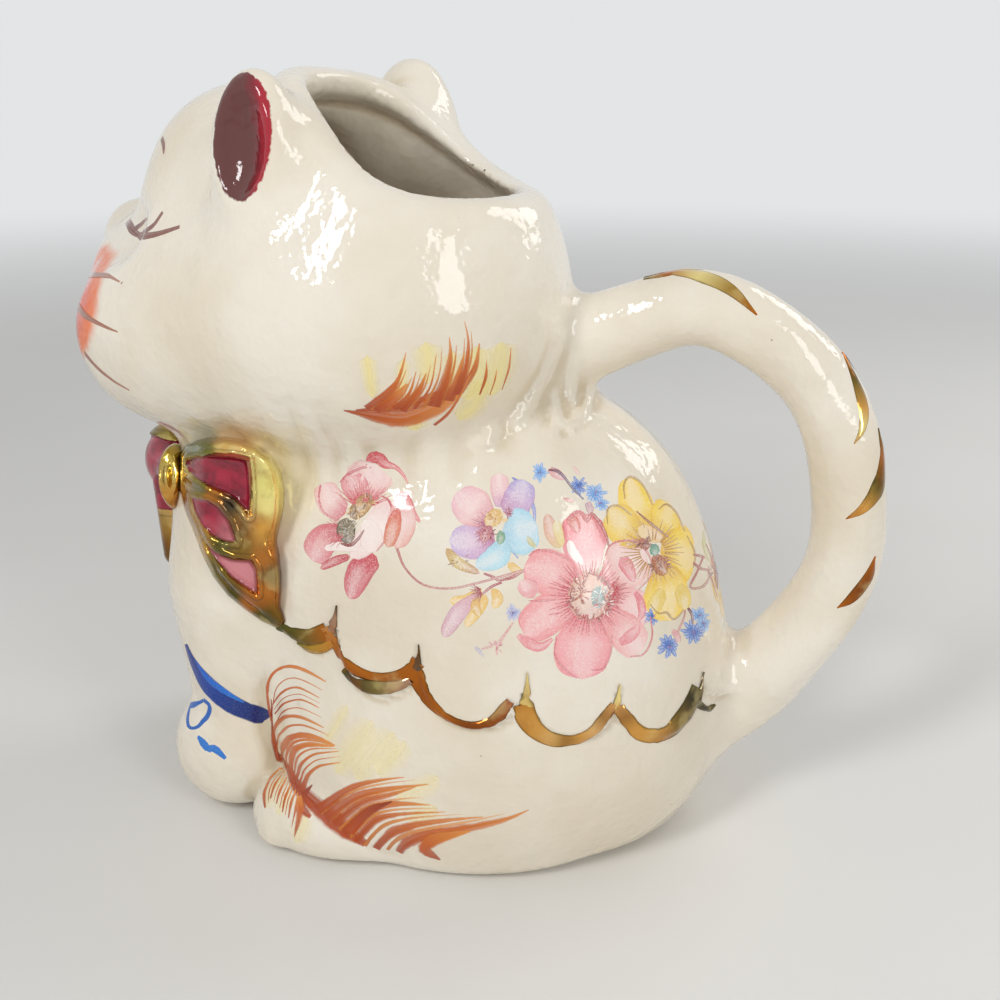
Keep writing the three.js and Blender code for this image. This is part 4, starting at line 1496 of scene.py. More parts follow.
# Tones of the fur from a stroke's first point to its last
ORANGE = ["#A83C00", "#C85E06", "#E08E3C"]
TIP_FIRST = ORANGE[::-1]
LIGHT_ORANGE = ["#C06A20", "#DA8C48", "#EAB888"]
RUST = ["#8E2C00", "#B44400"]
STRAW = ["#F2E08A"]

# The fur as the picture shows it. Each row is a mark's middle line and half-widths, and its tones where the
# marks of a table differ in them.
CHEEK_SWEEPS = [
    (
        [(344, 410), (360, 413), (380, 417), (402, 419), (424, 413), (445, 402), (461, 389)],
        [0.6, 3, 6.5, 8, 8.5, 7, 2], ORANGE,
    ),
    ([(356, 410), (376, 409), (398, 408), (424, 401), (448, 390)], [1, 3, 5, 6, 4], ORANGE[:2]),
]
CHEEK_LOCKS = [
    ([(366, 407), (388, 392), (399, 377), (406, 352)], [3, 4, 2, 0.4]),
    ([(376, 410), (394, 398), (407, 383)], [4, 5, 0.8]),
    ([(394, 408), (409, 393), (416, 371)], [3, 1.6, 0.4]),
    ([(402, 410), (418, 391), (426, 373)], [4, 3.4, 0.6]),
    ([(414, 408), (430, 386), (436, 354)], [2, 1, 0.4]),
    ([(434, 406), (444, 382), (450, 357), (449, 337)], [6, 5, 2.4, 0.4]),
    ([(448, 400), (456, 379), (464, 353)], [5, 3.4, 0.5]),
    ([(455, 394), (465, 367), (468, 342), (464, 321)], [5, 3, 1.2, 0.3]),
    ([(459, 391), (474, 368), (479, 343)], [4, 3.2, 0.6]),
]
CHEEK_HAIRS = [
    ([(479, 394), (485, 377), (486, 361)], [0.8, 1.6, 0.4]),
    ([(489, 394), (494, 380), (496, 369)], [0.4, 0.7, 0.3]),
    ([(501, 389), (508, 368), (510, 347)], [0.4, 1.0, 0.4]),
    ([(434, 424), (448, 412), (461, 392), (470, 374)], [1.2, 1.5, 1.0, 0.4]),
]
CHEEK_STRAW = [
    ([(367, 355), (370, 376), (373, 398)], [5, 5.5, 4]),
    ([(404, 358), (402, 380), (398, 400)], [4, 5, 4]),
    ([(426, 342), (428, 362), (428, 384)], [8, 9, 5]),
    ([(452, 350), (452, 370), (448, 396)], [5, 6, 6]),
    ([(477, 346), (475, 372), (468, 400)], [8, 10, 8]),
    ([(501, 342), (499, 368), (491, 396)], [9, 10, 7]),
    ([(486, 378), (474, 402), (458, 420)], [6, 8, 6]),
    ([(413, 416), (415, 424), (416, 431)], [8, 8, 7]),
]
HAUNCH_SWEEP = (
    [(270, 700), (272, 728), (280, 756), (296, 782), (316, 803), (343, 826), (366, 843)],
    [0.6, 1.5, 3, 5, 8, 9, 3],
)
HAUNCH_UPPER_LOCKS = [
    ([(325, 682), (302, 670), (282, 667), (268, 681), (267, 703), (271, 722)], [0.5, 1.8, 1.3, 1.5, 1.5, 1]),
    ([(318, 698), (298, 688), (284, 691), (272, 705)], [0.4, 1.1, 1, 0.6]),
    ([(318, 708), (301, 700), (285, 703), (275, 714)], [0.4, 0.9, 0.8, 0.5]),
    ([(323, 728), (302, 718), (285, 717), (275, 729), (276, 748)], [0.5, 1.6, 1.6, 1.5, 1]),
    ([(334, 746), (312, 737), (292, 737), (281, 750), (285, 768)], [0.5, 2.6, 3, 3, 2.4]),
    ([(333, 747), (308, 745), (293, 751), (289, 767), (295, 782)], [0.5, 3, 3.4, 3, 3]),
    ([(338, 752), (313, 755), (299, 767), (295, 783)], [0.4, 1.3, 1.6, 1.5]),
    ([(340, 763), (318, 767), (306, 778), (303, 792)], [0.4, 1.5, 2, 2.4]),
]
HAUNCH_LOWER_LOCKS = [
    ([(404, 778), (372, 782), (345, 791), (318, 810)], [0.4, 2.0, 3.6, 5]),
    ([(428, 785), (385, 790), (353, 798), (326, 817)], [0.4, 2.6, 4.2, 5.5]),
    ([(415, 788), (392, 795), (362, 804), (334, 824)], [0.4, 2.2, 4.2, 5.5]),
    ([(430, 806), (395, 805), (368, 812), (344, 833)], [0.4, 3, 5.4, 6.5]),
    ([(445, 813), (402, 815), (376, 821), (356, 840)], [0.4, 1.8, 4, 5]),
    ([(483, 818), (432, 823), (394, 832), (376, 849)], [0.5, 2.8, 5, 4]),
    ([(529, 811), (498, 823), (452, 832), (413, 840), (398, 855)], [0.4, 3, 4.6, 6, 4]),
]
HAUNCH_DABS = [
    ([(312, 785), (306, 795), (312, 806)], [0.6, 3, 4], RUST),
    ([(392, 802), (368, 812), (350, 830)], [0.6, 5, 6], RUST),
    ([(470, 832), (436, 840), (424, 850), (440, 861)], [1, 6, 6, 0.6], TIP_FIRST),
]
PAW_LOCKS = [
    ([(284, 768), (272, 778), (265, 793), (266, 808)], [0.8, 1.8, 1.8, 0.8]),
    ([(286, 772), (276, 784), (271, 799)], [0.6, 1.4, 0.6]),
    ([(289, 777), (281, 790), (277, 804)], [0.6, 1.3, 0.6]),
    ([(293, 783), (286, 797), (283, 812)], [0.6, 1.5, 0.6]),
    ([(297, 790), (292, 802), (289, 818)], [0.6, 1.5, 0.6]),
    ([(300, 796), (301, 810), (295, 836)], [2.5, 4.5, 0.5]),
]
PAW_DAB = ([(300, 798), (304, 810), (311, 817)], [2.5, 4.5, 2])
HAUNCH_STRAW = [
    ([(334, 774), (352, 746), (372, 722)], [8, 10, 8]),
    ([(354, 780), (376, 752), (394, 734)], [10, 12, 9]),
    ([(376, 776), (396, 756), (405, 742)], [7, 8, 6]),
    ([(320, 748), (336, 724), (346, 706)], [4, 5, 4]),
    ([(395, 800), (420, 790), (438, 778)], [7, 8, 6]),
    ([(408, 826), (424, 816), (436, 808)], [7, 9, 7]),
    ([(264, 808), (273, 790), (285, 778)], [4, 6, 4]),
    ([(295, 842), (302, 828), (306, 815)], [5, 7, 5]),
    ([(276, 814), (284, 802), (290, 792)], [4, 6, 5]),
]


def cheek_tuft(fur):
    for points, widths, tints in CHEEK_SWEEPS:
        fur.stroke(points, widths, tints)
    fur.fan(CHEEK_LOCKS, ORANGE, LIGHT_ORANGE[:2])
    for points, widths in CHEEK_HAIRS:
        fur.stroke(points, widths, ORANGE, 0.03)


def haunch_tuft(fur):
    fur.stroke(*HAUNCH_SWEEP, RUST)
    fur.fan(HAUNCH_UPPER_LOCKS, TIP_FIRST, TIP_FIRST)
    fur.fan(HAUNCH_LOWER_LOCKS, TIP_FIRST, LIGHT_ORANGE[::-1])
    for points, widths, tints in HAUNCH_DABS:
        fur.stroke(points, widths, tints, 0.04)
    fur.fan(PAW_LOCKS, TIP_FIRST, TIP_FIRST)
    fur.stroke(*PAW_DAB, RUST, 0.02)


class JugFurBrushwork(Operator):
    """Paints the orange fur on the cheeks, the haunches and the hind paws"""
    bl_idname = "jug.fur_brushwork"
    bl_label = "Fur brushwork"

    def execute(self, context):
        tree, names = stroke_tree()
        colour_coat = painted("fur_enamel", pale=0.06, ragged=0.4, stipple=0.0, soft=0.5, thin=0.22)
        for part, tuft, straw, far, full in (
            ("cheek", cheek_tuft, CHEEK_STRAW, "head", 0.7),
            ("haunch", haunch_tuft, HAUNCH_STRAW, "body", 0.4),
        ):
            thin_wash = painted(
                part + "_wash", pale=0.1, ragged=0.2, stipple=0.0, soft=1.0, thin=0.15, full=full
            )
            wash, fur = Brushwork(6), Brushwork(5)
            for points, widths in straw:
                wash.petal(points, widths, STRAW)
            tuft(fur)
            wash.lay(
                part + "_straw", tree, names, thin_wash, "ivory_glaze", far=far,
                scale=2.2, lift=0.02 * MM, dome=0.01 * MM, columns=9, spacing=0.8 * MM,
            )
            fur.lay(
                part + "_fur", tree, names, colour_coat, "ivory_glaze", far=far,
                scale=1.25, lift=0.07 * MM, dome=0.02 * MM, columns=5, spacing=0.7 * MM,
            )
        return {"FINISHED"}


# Tones of the flowers from a stroke's first point to its last
ROSE = ["#E88E94", "#F4AEAE", "#F09CA0"]
DEEP_ROSE = ["#D24A54", "#E27078"]
YELLOW = ["#E4B434", "#FBDB5C", "#F8D450"]
OCHRE = ["#E8BE68", "#F0D084"]
STEM = ["#C07A74", "#CC8E88"]
SKY = ["#5C98DC", "#86B8E8"]
CORNFLOWER = ["#3C6CC0", "#5E92D8"]

# The flower spray as it lies on the flank, in the order of painting. Each row says how a mark is made, and
# then where, how wide and in which tones.
PETAL = Brushwork.petal
LINE = Brushwork.stroke
LINES = Brushwork.lines
RAYS = Brushwork.rays
DOTS = Brushwork.dots
RING = Brushwork.ring
SMALL_FLOWER = Brushwork.small_flower
LEAVES = [
    (LINE, [(484, 573), (494, 577), (502, 583)], [1, 1.6, 1], ["#B4646A", "#C07A78"]),
    (LINE, [(500, 580), (512, 577), (522, 571), (530, 568)], [1.2, 1.8, 1.6, 1.2], ["#B86468", "#C07A78"]),
    (LINE, [(502, 582), (492, 586), (482, 594)], [1, 1.5, 1], ["#B86468"]),
    (PETAL, [(482, 588), (468, 600), (450, 600)], [4, 7, 4], OCHRE),
    (PETAL, [(480, 594), (459, 612), (444, 636)], [5, 9, 6], ["#DAA4A8", "#DEB8C2", "#D8AAB4"]),
    (PETAL, [(486, 594), (480, 606), (466, 626)], [4, 6.5, 4], OCHRE),
    (PETAL, [(492, 588), (498, 598), (493, 608)], [3, 6, 3], OCHRE),
    (PETAL, [(478, 596), (476, 606), (480, 616)], [3, 5, 3], ["#E0B060", "#E8C478"]),
    (PETAL, [(560, 548), (552, 534), (546, 514)], [4, 8, 4], ["#E2C888", "#E8BCA4", "#DCA894"]),
    (PETAL, [(562, 546), (557, 530), (556, 520)], [3, 5, 3], ["#EBD490", "#E8DCAC"]),
    (PETAL, [(536, 548), (530, 542), (527, 536)], [2, 3, 1.6], ["#CFCB9C"]),
    (PETAL, [(701, 524), (706, 534), (712, 548)], [2.4, 5, 3], ["#CDC894", "#D2CCA0"]),
    (PETAL, [(699, 540), (703, 550), (709, 560)], [2, 4.4, 3], ["#D2C68C", "#D8B48C"]),
    (PETAL, [(706, 558), (712, 566), (716, 578)], [3, 5, 3], ["#D49C84", "#CC8C74"]),
    (PETAL, [(709, 576), (712, 588), (716, 602)], [3, 5, 3], ["#DCBC6C", "#E2C070"]),
    (PETAL, [(716, 592), (719, 604), (721, 616)], [3, 5, 2], ["#E2B848", "#E8C458"]),
    (PETAL, [(720, 578), (725, 590), (727, 604)], [2, 4, 2], ["#DCC080", "#E8C868"]),
    (
        LINES, [
            [(690, 555), (696, 556), (702, 558)],
            [(700, 557), (694, 572), (687, 587), (699, 587), (706, 577), (705, 566)],
            [(690, 563), (698, 569), (708, 570)], [(704, 570), (710, 584), (714, 598)],
            [(703, 545), (709, 560), (714, 572)],
        ], [1.0, 1.2, 0.8], ["#B46A6A", "#B07A5E"],
    ),
    (RAYS, (483, 590), 2, 14, 10, 0.9, "#A8484E", 110, 110),
    (DOTS, (711, 572), (5, 16), 22, 1.1, ["#8C4A44", "#A8705E", "#7A5A4A"], 0.03),
]
SMALL_FLOWERS = [
    (SMALL_FLOWER, (540, 473), 11, SKY),
    (SMALL_FLOWER, (577, 487), 11, CORNFLOWER),
    (SMALL_FLOWER, (594, 494), 14, SKY),
    (SMALL_FLOWER, (600, 504), 9, SKY),
    (SMALL_FLOWER, (651, 616), 11, CORNFLOWER),
    (SMALL_FLOWER, (667, 645), 14, CORNFLOWER),
    (SMALL_FLOWER, (696, 615), 11, SKY),
    (SMALL_FLOWER, (691, 632), 14, CORNFLOWER),
    (SMALL_FLOWER, (700, 624), 9, SKY),
    (SMALL_FLOWER, (513, 612), 10, ["#9FA6D2", "#B8BCDC"]),
    (LINE, [(549, 470), (556, 475), (565, 480)], [3, 5, 2], ["#DC9CA0", "#E8BCBC"], 0.01),
    (
        LINE, [(548, 471), (556, 472), (563, 478), (572, 490), (582, 500)], [1, 1.6, 1.3, 1.2, 0.8],
        ["#7A3038", "#4A5A8C"], 0.01,
    ),
    (LINE, [(562, 499), (568, 501), (573, 502)], [0.8, 2, 0.8], ["#E0A4A4"], 0.01),
    (LINE, [(572, 467), (576, 472), (578, 476)], [0.8, 2.4, 0.8], ["#EBC8C0"], 0.01),
    (LINE, [(586, 503), (589, 510), (588, 516)], [3, 4, 1], ["#C8A4B0", "#D9B4B4"], 0.01),
    (LINE, [(684, 606), (689, 614), (690, 624)], [1, 1.4, 0.8], ["#7A3E48"], 0.01),
    (LINE, [(683, 604), (681, 618), (674, 634)], [0.8, 1, 1.2], STEM, 0.01),
    (LINE, [(670, 630), (675, 636), (676, 642)], [2, 3.4, 2], ["#E0A8A8"], 0.01),
    (
        LINE, [(513, 622), (506, 632), (498, 644), (497, 654)], [1, 1.3, 1.6, 0.8], ["#D9A0A0", "#E0A4A4"],
        0.01,
    ),
    (LINE, [(482, 648), (492, 645), (500, 640)], [0.8, 1.3, 0.8], ["#D9A8A4"], 0.01),
    (LINE, [(476, 646), (480, 650), (484, 656)], [1.4, 2, 0.6], ["#C4BCC8"], 0.01),
    (DOTS, (497, 645), (8, 6), 9, 1.3, ["#C0626C", "#D9909A"], 0.03),
]
FIRST_ROSE = [
    (PETAL, [(366, 504), (368, 484), (378, 464)], [12, 22, 27], ["#D86C78", "#EDB8B8", "#F2D6D0"]),
    (PETAL, [(368, 506), (358, 488), (350, 474)], [6, 14, 10], ["#D05864", "#E59AA0", "#E4959C"]),
    (PETAL, [(347, 514), (333, 502), (325, 482)], [10, 15, 11], ["#D4707C", "#F0CDCA", "#EBBCBB"]),
    (PETAL, [(350, 534), (326, 540), (314, 560)], [9, 17, 13], ["#CC5864", "#DC7C84", "#E59CA2"]),
    (PETAL, [(352, 556), (338, 560), (322, 568)], [3, 5, 3], ["#C44450", "#CF5A64"]),
    (PETAL, [(326, 548), (342, 546), (360, 549)], [3, 5, 3], ["#F6E6E0", "#F4E2DC"]),
    (PETAL, [(400, 496), (403, 520), (398, 548)], [5, 15, 9], ["#E8A2A2", "#F0CCC6", "#E8A898"]),
    (PETAL, [(399, 508), (395, 526), (389, 547)], [3, 8, 6], ["#D9685E", "#E08468", "#DC8A6C"]),
    (PETAL, [(378, 556), (361, 572), (351, 598)], [10, 14, 7], ["#CC4450", "#D2606C", "#DC8088"]),
    (PETAL, [(388, 498), (380, 526), (352, 557)], [6, 16, 9], ["#F0CCC8", "#F7E6E0", "#F2D6D2"]),
    (PETAL, [(366, 520), (372, 534), (370, 552)], [5, 12, 9], ["#F7EAE4", "#F5E0DA"]),
    (
        LINE, [(367, 466), (371, 459), (379, 457), (386, 463), (395, 466), (403, 474), (409, 484)],
        [1, 5, 6.5, 5, 2.4, 1.6, 0.6], DEEP_ROSE,
    ),
    (LINE, [(397, 500), (403, 496), (409, 502), (414, 513), (421, 522)], [2.5, 5, 4.6, 3.4, 1.2], DEEP_ROSE),
    (LINE, [(416, 523), (413, 535), (404, 545)], [0.8, 1.2, 0.8], ["#D98088"]),
    (LINE, [(342, 482), (350, 473), (361, 467), (372, 467)], [0.8, 1.4, 1.3, 0.8], ["#D06672"]),
    (LINE, [(323, 484), (321, 500), (326, 513), (340, 521)], [0.7, 0.9, 1.0, 0.8], ["#CF6470"]),
    (
        LINE, [(383, 496), (391, 502), (394, 520), (388, 538), (378, 551)], [0.8, 1.1, 0.9, 0.9, 0.6],
        ["#C9565E"],
    ),
    (RAYS, (364, 510), 8, 34, 22, 0.8, "#CC4854", 215, 130),
    (RAYS, (350, 532), 6, 24, 12, 0.7, "#C24450", 130, 100),
    (PETAL, [(373, 495), (364, 506), (352, 517)], [6, 9, 6], ["#A87C4C", "#C49A60", "#8C6C44"], 0.02),
    (PETAL, [(348, 518), (348, 531), (353, 543)], [6, 10, 5], ["#7E6848", "#6A5E44", "#6E5240"], 0.02),
    (DOTS, (369, 502), (8, 7), 22, 1.8, ["#A8703A", "#5E3E24", "#D9A45C"], 0.03),
    (DOTS, (358, 512), (9, 7), 24, 1.9, ["#D9A860", "#B5823E", "#7A5630", "#E5BE7C"], 0.03),
    (DOTS, (350, 529), (9, 9), 34, 1.9, ["#6E6248", "#8C7C54", "#54492F", "#9A8A66"], 0.03),
    (LINE, [(343, 543), (352, 545), (360, 539), (366, 530)], [1, 1.8, 1.5, 0.8], ["#8C2E30"], 0.03),
    (
        LINE, [(398, 547), (406, 567), (424, 584), (450, 588), (476, 583), (502, 576), (524, 570)],
        [1.6, 1.2, 1.1, 1.1, 1.2, 1.3, 1.5], STEM,
    ),
]
LILAC_FLOWER = [
    (PETAL, [(504, 508), (500, 492), (499, 474)], [8, 10, 9], ["#CEA2C4", "#ECC0C4", "#F0C8C8"]),
    (PETAL, [(504, 514), (518, 500), (524, 480)], [9, 16, 11], ["#C894B4", "#D0B2D4", "#B8B0DA"]),
    (PETAL, [(502, 532), (518, 532), (537, 526)], [9, 25, 17], ["#A6CCE0", "#C0E2EE", "#B4DAEA"]),
    (PETAL, [(504, 540), (497, 556), (476, 566)], [7, 13, 6], ["#AED4E4", "#BEE2EC", "#BEDEEA"]),
    (PETAL, [(490, 520), (474, 508), (456, 494)], [10, 21, 13], ["#DC949E", "#F2CCCA", "#ECBCC6"]),
    (PETAL, [(494, 532), (474, 540), (450, 541)], [10, 20, 11], ["#C07498", "#D8B6D4", "#D0BEDE"]),
    (
        LINE, [(512, 478), (520, 484), (528, 496), (534, 512), (533, 530)], [0.8, 2.2, 2.6, 1.8, 0.8],
        ["#7C86CC", "#8C98D4"],
    ),
    (LINE, [(517, 492), (524, 500), (529, 512)], [0.6, 1.4, 0.8], ["#6E7CC8"]),
    (LINE, [(505, 538), (510, 548), (518, 558)], [0.6, 1.2, 0.9], ["#7A9ACC"]),
    (LINE, [(454, 512), (462, 521), (472, 524)], [0.7, 1.1, 0.7], ["#B886B0"]),
    (RAYS, (494, 528), 8, 24, 16, 0.7, "#B04A70", 120, 130),
    (PETAL, [(500, 510), (494, 518), (486, 526)], [5, 8, 5], ["#DDB468", "#E6C484"], 0.02),
    (PETAL, [(492, 526), (486, 534), (483, 542)], [4, 7, 4], ["#BC6470", "#C87C88"], 0.02),
    (DOTS, (496, 518), (10, 8), 30, 2.0, ["#E5BC74", "#C98E3C", "#EBCB90"], 0.03),
    (DOTS, (487, 534), (9, 8), 20, 1.5, ["#9C3040", "#7E2834", "#B85058"], 0.03),
    (DOTS, (508, 514), (6, 5), 12, 1.4, ["#8C2E3C", "#A8485A"], 0.03),
    (PETAL, [(500, 530), (501, 537), (499, 545)], [3, 4.6, 2.6], ["#6E9C7C", "#7FB08C"], 0.05),
    (PETAL, [(447, 548), (458, 562), (480, 573)], [3, 6, 3], ["#C89A62", "#DCC684", "#C08A6A"]),
    (DOTS, (460, 560), (12, 8), 12, 1.2, ["#7A5A34", "#F2E6CC", "#A87C4A"], 0.03),
    (PETAL, [(508, 562), (514, 568), (523, 572)], [3, 4.5, 2], OCHRE),
]
YELLOW_FLOWER = [
    (PETAL, [(646, 536), (636, 508), (627, 478)], [10, 18, 10], YELLOW),
    (PETAL, [(658, 540), (664, 522), (667, 504)], [11, 16, 10], YELLOW),
    (PETAL, [(642, 542), (622, 526), (608, 510)], [9, 19, 13], ["#DCAE3C", "#F6D462", "#F2CE58"]),
    (PETAL, [(658, 552), (676, 552), (692, 562)], [10, 24, 14], YELLOW),
    (PETAL, [(660, 566), (665, 592), (668, 620)], [11, 24, 14], YELLOW),
    (PETAL, [(662, 590), (654, 602), (650, 612)], [5, 8, 5], ["#EBCB60", "#F2D878"]),
    (PETAL, [(674, 586), (681, 598), (682, 610)], [5, 8, 4], ["#EBCB60", "#F2D878"], 0.01),
    (
        LINES, [
            [(623, 500), (622, 486), (628, 478), (640, 486), (650, 506)],
            [(606, 524), (606, 510), (616, 506), (630, 516)],
            [(656, 510), (664, 505), (674, 514), (682, 532)], [(684, 536), (692, 554), (690, 568)],
            [(648, 604), (656, 613), (664, 612), (672, 619), (684, 606)],
        ], [0.5, 1.2, 0.6], ["#B9924A"],
    ),
    (RAYS, (650, 552), 12, 34, 40, 0.75, "#C08A34"),
    (PETAL, [(636, 528), (646, 534), (660, 538)], [5, 8, 5], ["#F2D8A4", "#EFC994"], 0.02),
    (LINE, [(634, 512), (648, 524), (666, 538)], [0.7, 1.3, 0.7], ["#A86E4A"], 0.03),
    (PETAL, [(636, 540), (643, 545), (648, 546)], [3, 5, 3], ["#B8683C", "#A8503A"], 0.03),
    (PETAL, [(650, 556), (657, 565), (664, 574)], [4, 8, 4], ["#B0603A", "#C07E40"], 0.03),
    (DOTS, (641, 543), (9, 6), 30, 1.5, ["#8C2E28", "#B0503C", "#6A221E"], 0.04),
    (DOTS, (657, 565), (10, 9), 34, 1.5, ["#9C3C2C", "#B85C40", "#702A20"], 0.04),
    (PETAL, [(648, 545), (652, 551), (653, 556)], [3.5, 5.5, 3], ["#6E9E88", "#84B29A"], 0.05),
]
GREAT_ROSE = [
    (PETAL, [(592, 572), (584, 546), (583, 514)], [9, 23, 21], ["#F8DED8", "#F2A2A8", "#DC5A60"]),
    (PETAL, [(604, 588), (624, 566), (643, 552)], [9, 26, 20], ["#EC9C9E", "#F8D6D0", "#F6CAC6"]),
    (PETAL, [(602, 602), (626, 606), (650, 612)], [9, 20, 16], ["#EA9096", "#F6C2C0", "#F6CECA"]),
    (PETAL, [(602, 610), (622, 630), (640, 650)], [8, 19, 16], ["#EA8C92", "#F4B6B4", "#F6CECA"]),
    (PETAL, [(580, 602), (550, 612), (524, 634)], [9, 21, 17], ROSE),
    (PETAL, [(582, 590), (554, 574), (524, 566)], [9, 24, 18], ROSE),
    (PETAL, [(538, 590), (528, 588), (520, 580)], [8, 10, 6], ["#E9A0A4", "#F0BFBD"]),
    (PETAL, [(588, 608), (583, 642), (582, 678)], [11, 30, 22], ["#E8828A", "#F6B0B2", "#F2A0A6"]),
    (
        LINE, [(518, 634), (528, 642), (540, 646), (552, 638)], [2.5, 5.5, 5, 1.5], ["#EC9CA0", "#E88C94"],
        0.02,
    ),
    (LINE, [(633, 592), (638, 600), (640, 612), (636, 620)], [2, 4, 4, 1.6], ["#E8828C", "#EE9AA0"], 0.02),
    (LINE, [(618, 642), (626, 637), (634, 630), (636, 624)], [3, 6, 5, 1.6], ["#EC9298", "#F0A8AC"], 0.02),
    (PETAL, [(618, 558), (625, 566), (633, 582)], [5, 7, 3], ["#EC9AA0", "#E88890", "#EFA6A8"], 0.02),
    (PETAL, [(567, 518), (573, 523), (577, 534)], [4, 6, 3], ["#C4463E", "#CC6048", "#D4606A"], 0.02),
    (
        LINE,
        [(566, 520), (572, 514), (580, 513), (586, 522), (590, 514), (598, 523), (604, 534), (607, 546)],
        [1, 1.8, 2.2, 2, 1.8, 1.6, 1.5, 0.8], ["#C2303A", "#B83A40"], 0.02,
    ),
    (PETAL, [(568, 540), (572, 552), (582, 564)], [3, 5, 3], ["#F7EDE6", "#F9F0EA"], 0.01),
    (
        LINES, [
            [(528, 556), (536, 550), (552, 552), (568, 560)], [(528, 600), (540, 600), (556, 599)],
            [(556, 634), (554, 654), (564, 668), (576, 677)],
            [(590, 669), (602, 667), (609, 652), (610, 634)],
            [(604, 556), (608, 546), (620, 541), (636, 543), (648, 558), (648, 576), (636, 590)],
            [(648, 616), (650, 636), (642, 653), (628, 656)], [(586, 616), (580, 630)],
            [(592, 618), (594, 632)], [(560, 612), (548, 614)],
        ], [0.5, 1.1, 0.6], ["#D9727C"],
    ),
    (RAYS, (588, 596), 18, 42, 60, 0.8, "#CC4656"),
    (RAYS, (605, 592), 6, 22, 16, 1.1, "#C43A48", -50, 120),
    (PETAL, [(588, 574), (588, 596), (588, 619)], [14, 22, 14], ["#E8BCA8", "#E9C8B6", "#E2B4A8"], 0.02),
    (RING, (589, 596), (20, 22), 26, 1.8, ["#B0504E", "#983C3C", "#C87C68"], 0.05),
    (DOTS, (580, 592), (9, 16), 46, 1.9, ["#D08A70", "#B4604E", "#F0D0B8", "#A04C40"], 0.05),
    (DOTS, (602, 602), (9, 14), 44, 1.5, ["#D06A72", "#B84A56", "#F4E0DA"], 0.05),
    (PETAL, [(596, 586), (596, 598), (597, 608)], [4, 6.5, 4], ["#9AB0AE", "#A9BAB6"], 0.06),
    (DOTS, (598, 594), (9, 12), 26, 1.3, ["#8FA4A4", "#C8D0CC", "#F2EEE8"], 0.07),
]


class JugFlowerSpray(Operator):
    """Lays the flower spray on both flanks"""
    bl_idname = "jug.flower_spray"
    bl_label = "Flower spray"

    def execute(self, context):
        tree, names = stroke_tree()
        spray = Brushwork(11)
        for rows in (LEAVES, SMALL_FLOWERS, FIRST_ROSE, LILAC_FLOWER, YELLOW_FLOWER, GREAT_ROSE):
            spray.draw(rows)
        petals = painted("petal_enamel", pale=0.3, outline=0.55, ragged=0.16, stipple=0.3, soft=0.12)
        spray.lay(
            "flower_spray", tree, names, petals, "ivory_glaze", far="body", lift=0.05 * MM, dome=0.0,
            columns=11, spacing=0.45 * MM,
        )
        return {"FINISHED"}


# The face as the picture shows it: the lines of the closed eye and the brow, then the whiskers
EYE_BROWN = ["#6A2A1E", "#7E3C28"]
EYE_LINES = [
    ([(128, 221), (133, 230), (142, 236), (158, 234), (180, 227)], [2.6, 3.6, 3.2, 2.4, 1.6]),
    ([(143, 233), (154, 225), (163, 212)], [2.2, 1.9, 1.3]),
    ([(134, 230), (142, 224), (147, 218)], [2.0, 1.6, 0.8]),
    ([(162, 138), (164, 146), (164, 154)], [1.6, 1.6, 0.8]),
]
WHISKER_BROWN = ["#8A4028", "#A86A4A"]
WHISKER_SPOT = (122, 284)
WHISKERS = [
    ([(79, 274), (94, 275), (108, 276), (120, 282)], [2.4, 2.2, 2.0, 1.0]),
    ([(78, 306), (86, 316), (104, 326), (118, 332)], [2.4, 2.2, 1.6, 0.8]),
    ([(85, 353), (98, 368), (114, 381), (130, 390)], [2.2, 2.0, 1.6, 0.8]),
]

# The blue of the foreleg: the band, a paler run on it as a painted highlight, the small ring and the two
# dabs
COBALT = [
    (
        [(186, 644), (194, 664), (208, 685), (232, 704), (266, 720)], [3, 6, 8.5, 10, 8],
        ["#00287C", "#003C98", "#001E66"], 0.0,
    ),
    # A paler run painted on the band as its highlight
    (
        [(196, 660), (208, 678), (226, 692), (244, 702)], [0.6, 2.6, 3.0, 0.8],
        ["#0858C0", "#2076D4"], 0.02,
    ),
    (
        [(204, 700), (210, 706), (208, 718), (199, 727), (190, 727), (189, 717), (195, 706), (204, 700)],
        [1.8, 2.2, 1.6, 2.4, 1.8], ["#1E62B8"], 0.0,
    ),
    ([(199, 736), (205, 744), (212, 751)], [1.6, 4.4, 2], ["#2A78CC"], 0.0),
    ([(205, 749), (215, 748), (226, 758)], [1.6, 4.2, 2], ["#2A78CC"], 0.0),
]


class JugFace(Operator):
    """Draws the closed eyes, the whiskers and the blue of the forelegs"""
    bl_idname = "jug.face"
    bl_label = "Face and cobalt"

    def execute(self, context):
        tree, names = stroke_tree()
        face = Brushwork(13)
        for points, widths in EYE_LINES:
            face.stroke(points, widths, EYE_BROWN)
        for points, widths in WHISKERS:
            face.stroke(points, widths, WHISKER_BROWN)
        face.dots(WHISKER_SPOT, (1, 1), 2, 1.0, ["#9A5A42"])
        coat = painted("face_enamel", pale=0.3, ragged=0.2, stipple=0.1)
        face.lay(
            "face_lines", tree, names, coat, "ivory_glaze", far="head", lift=0.05 * MM, dome=0.02 * MM,
            columns=5, spacing=0.6 * MM,
        )
        cobalt = Brushwork(14)
        for points, widths, tints, layer in COBALT:
            cobalt.stroke(points, widths, tints, layer=layer)
        blue = painted("cobalt_enamel", pale=0.0, ragged=0.2, stipple=0.05)
        cobalt.lay(
            "cobalt_bands", tree, names, blue, "ivory_glaze", far="body", lift=0.05 * MM, dome=0.06 * MM,
            columns=5, spacing=0.6 * MM,
        )
        return {"FINISHED"}


FLOOR_REACH = 9000.0


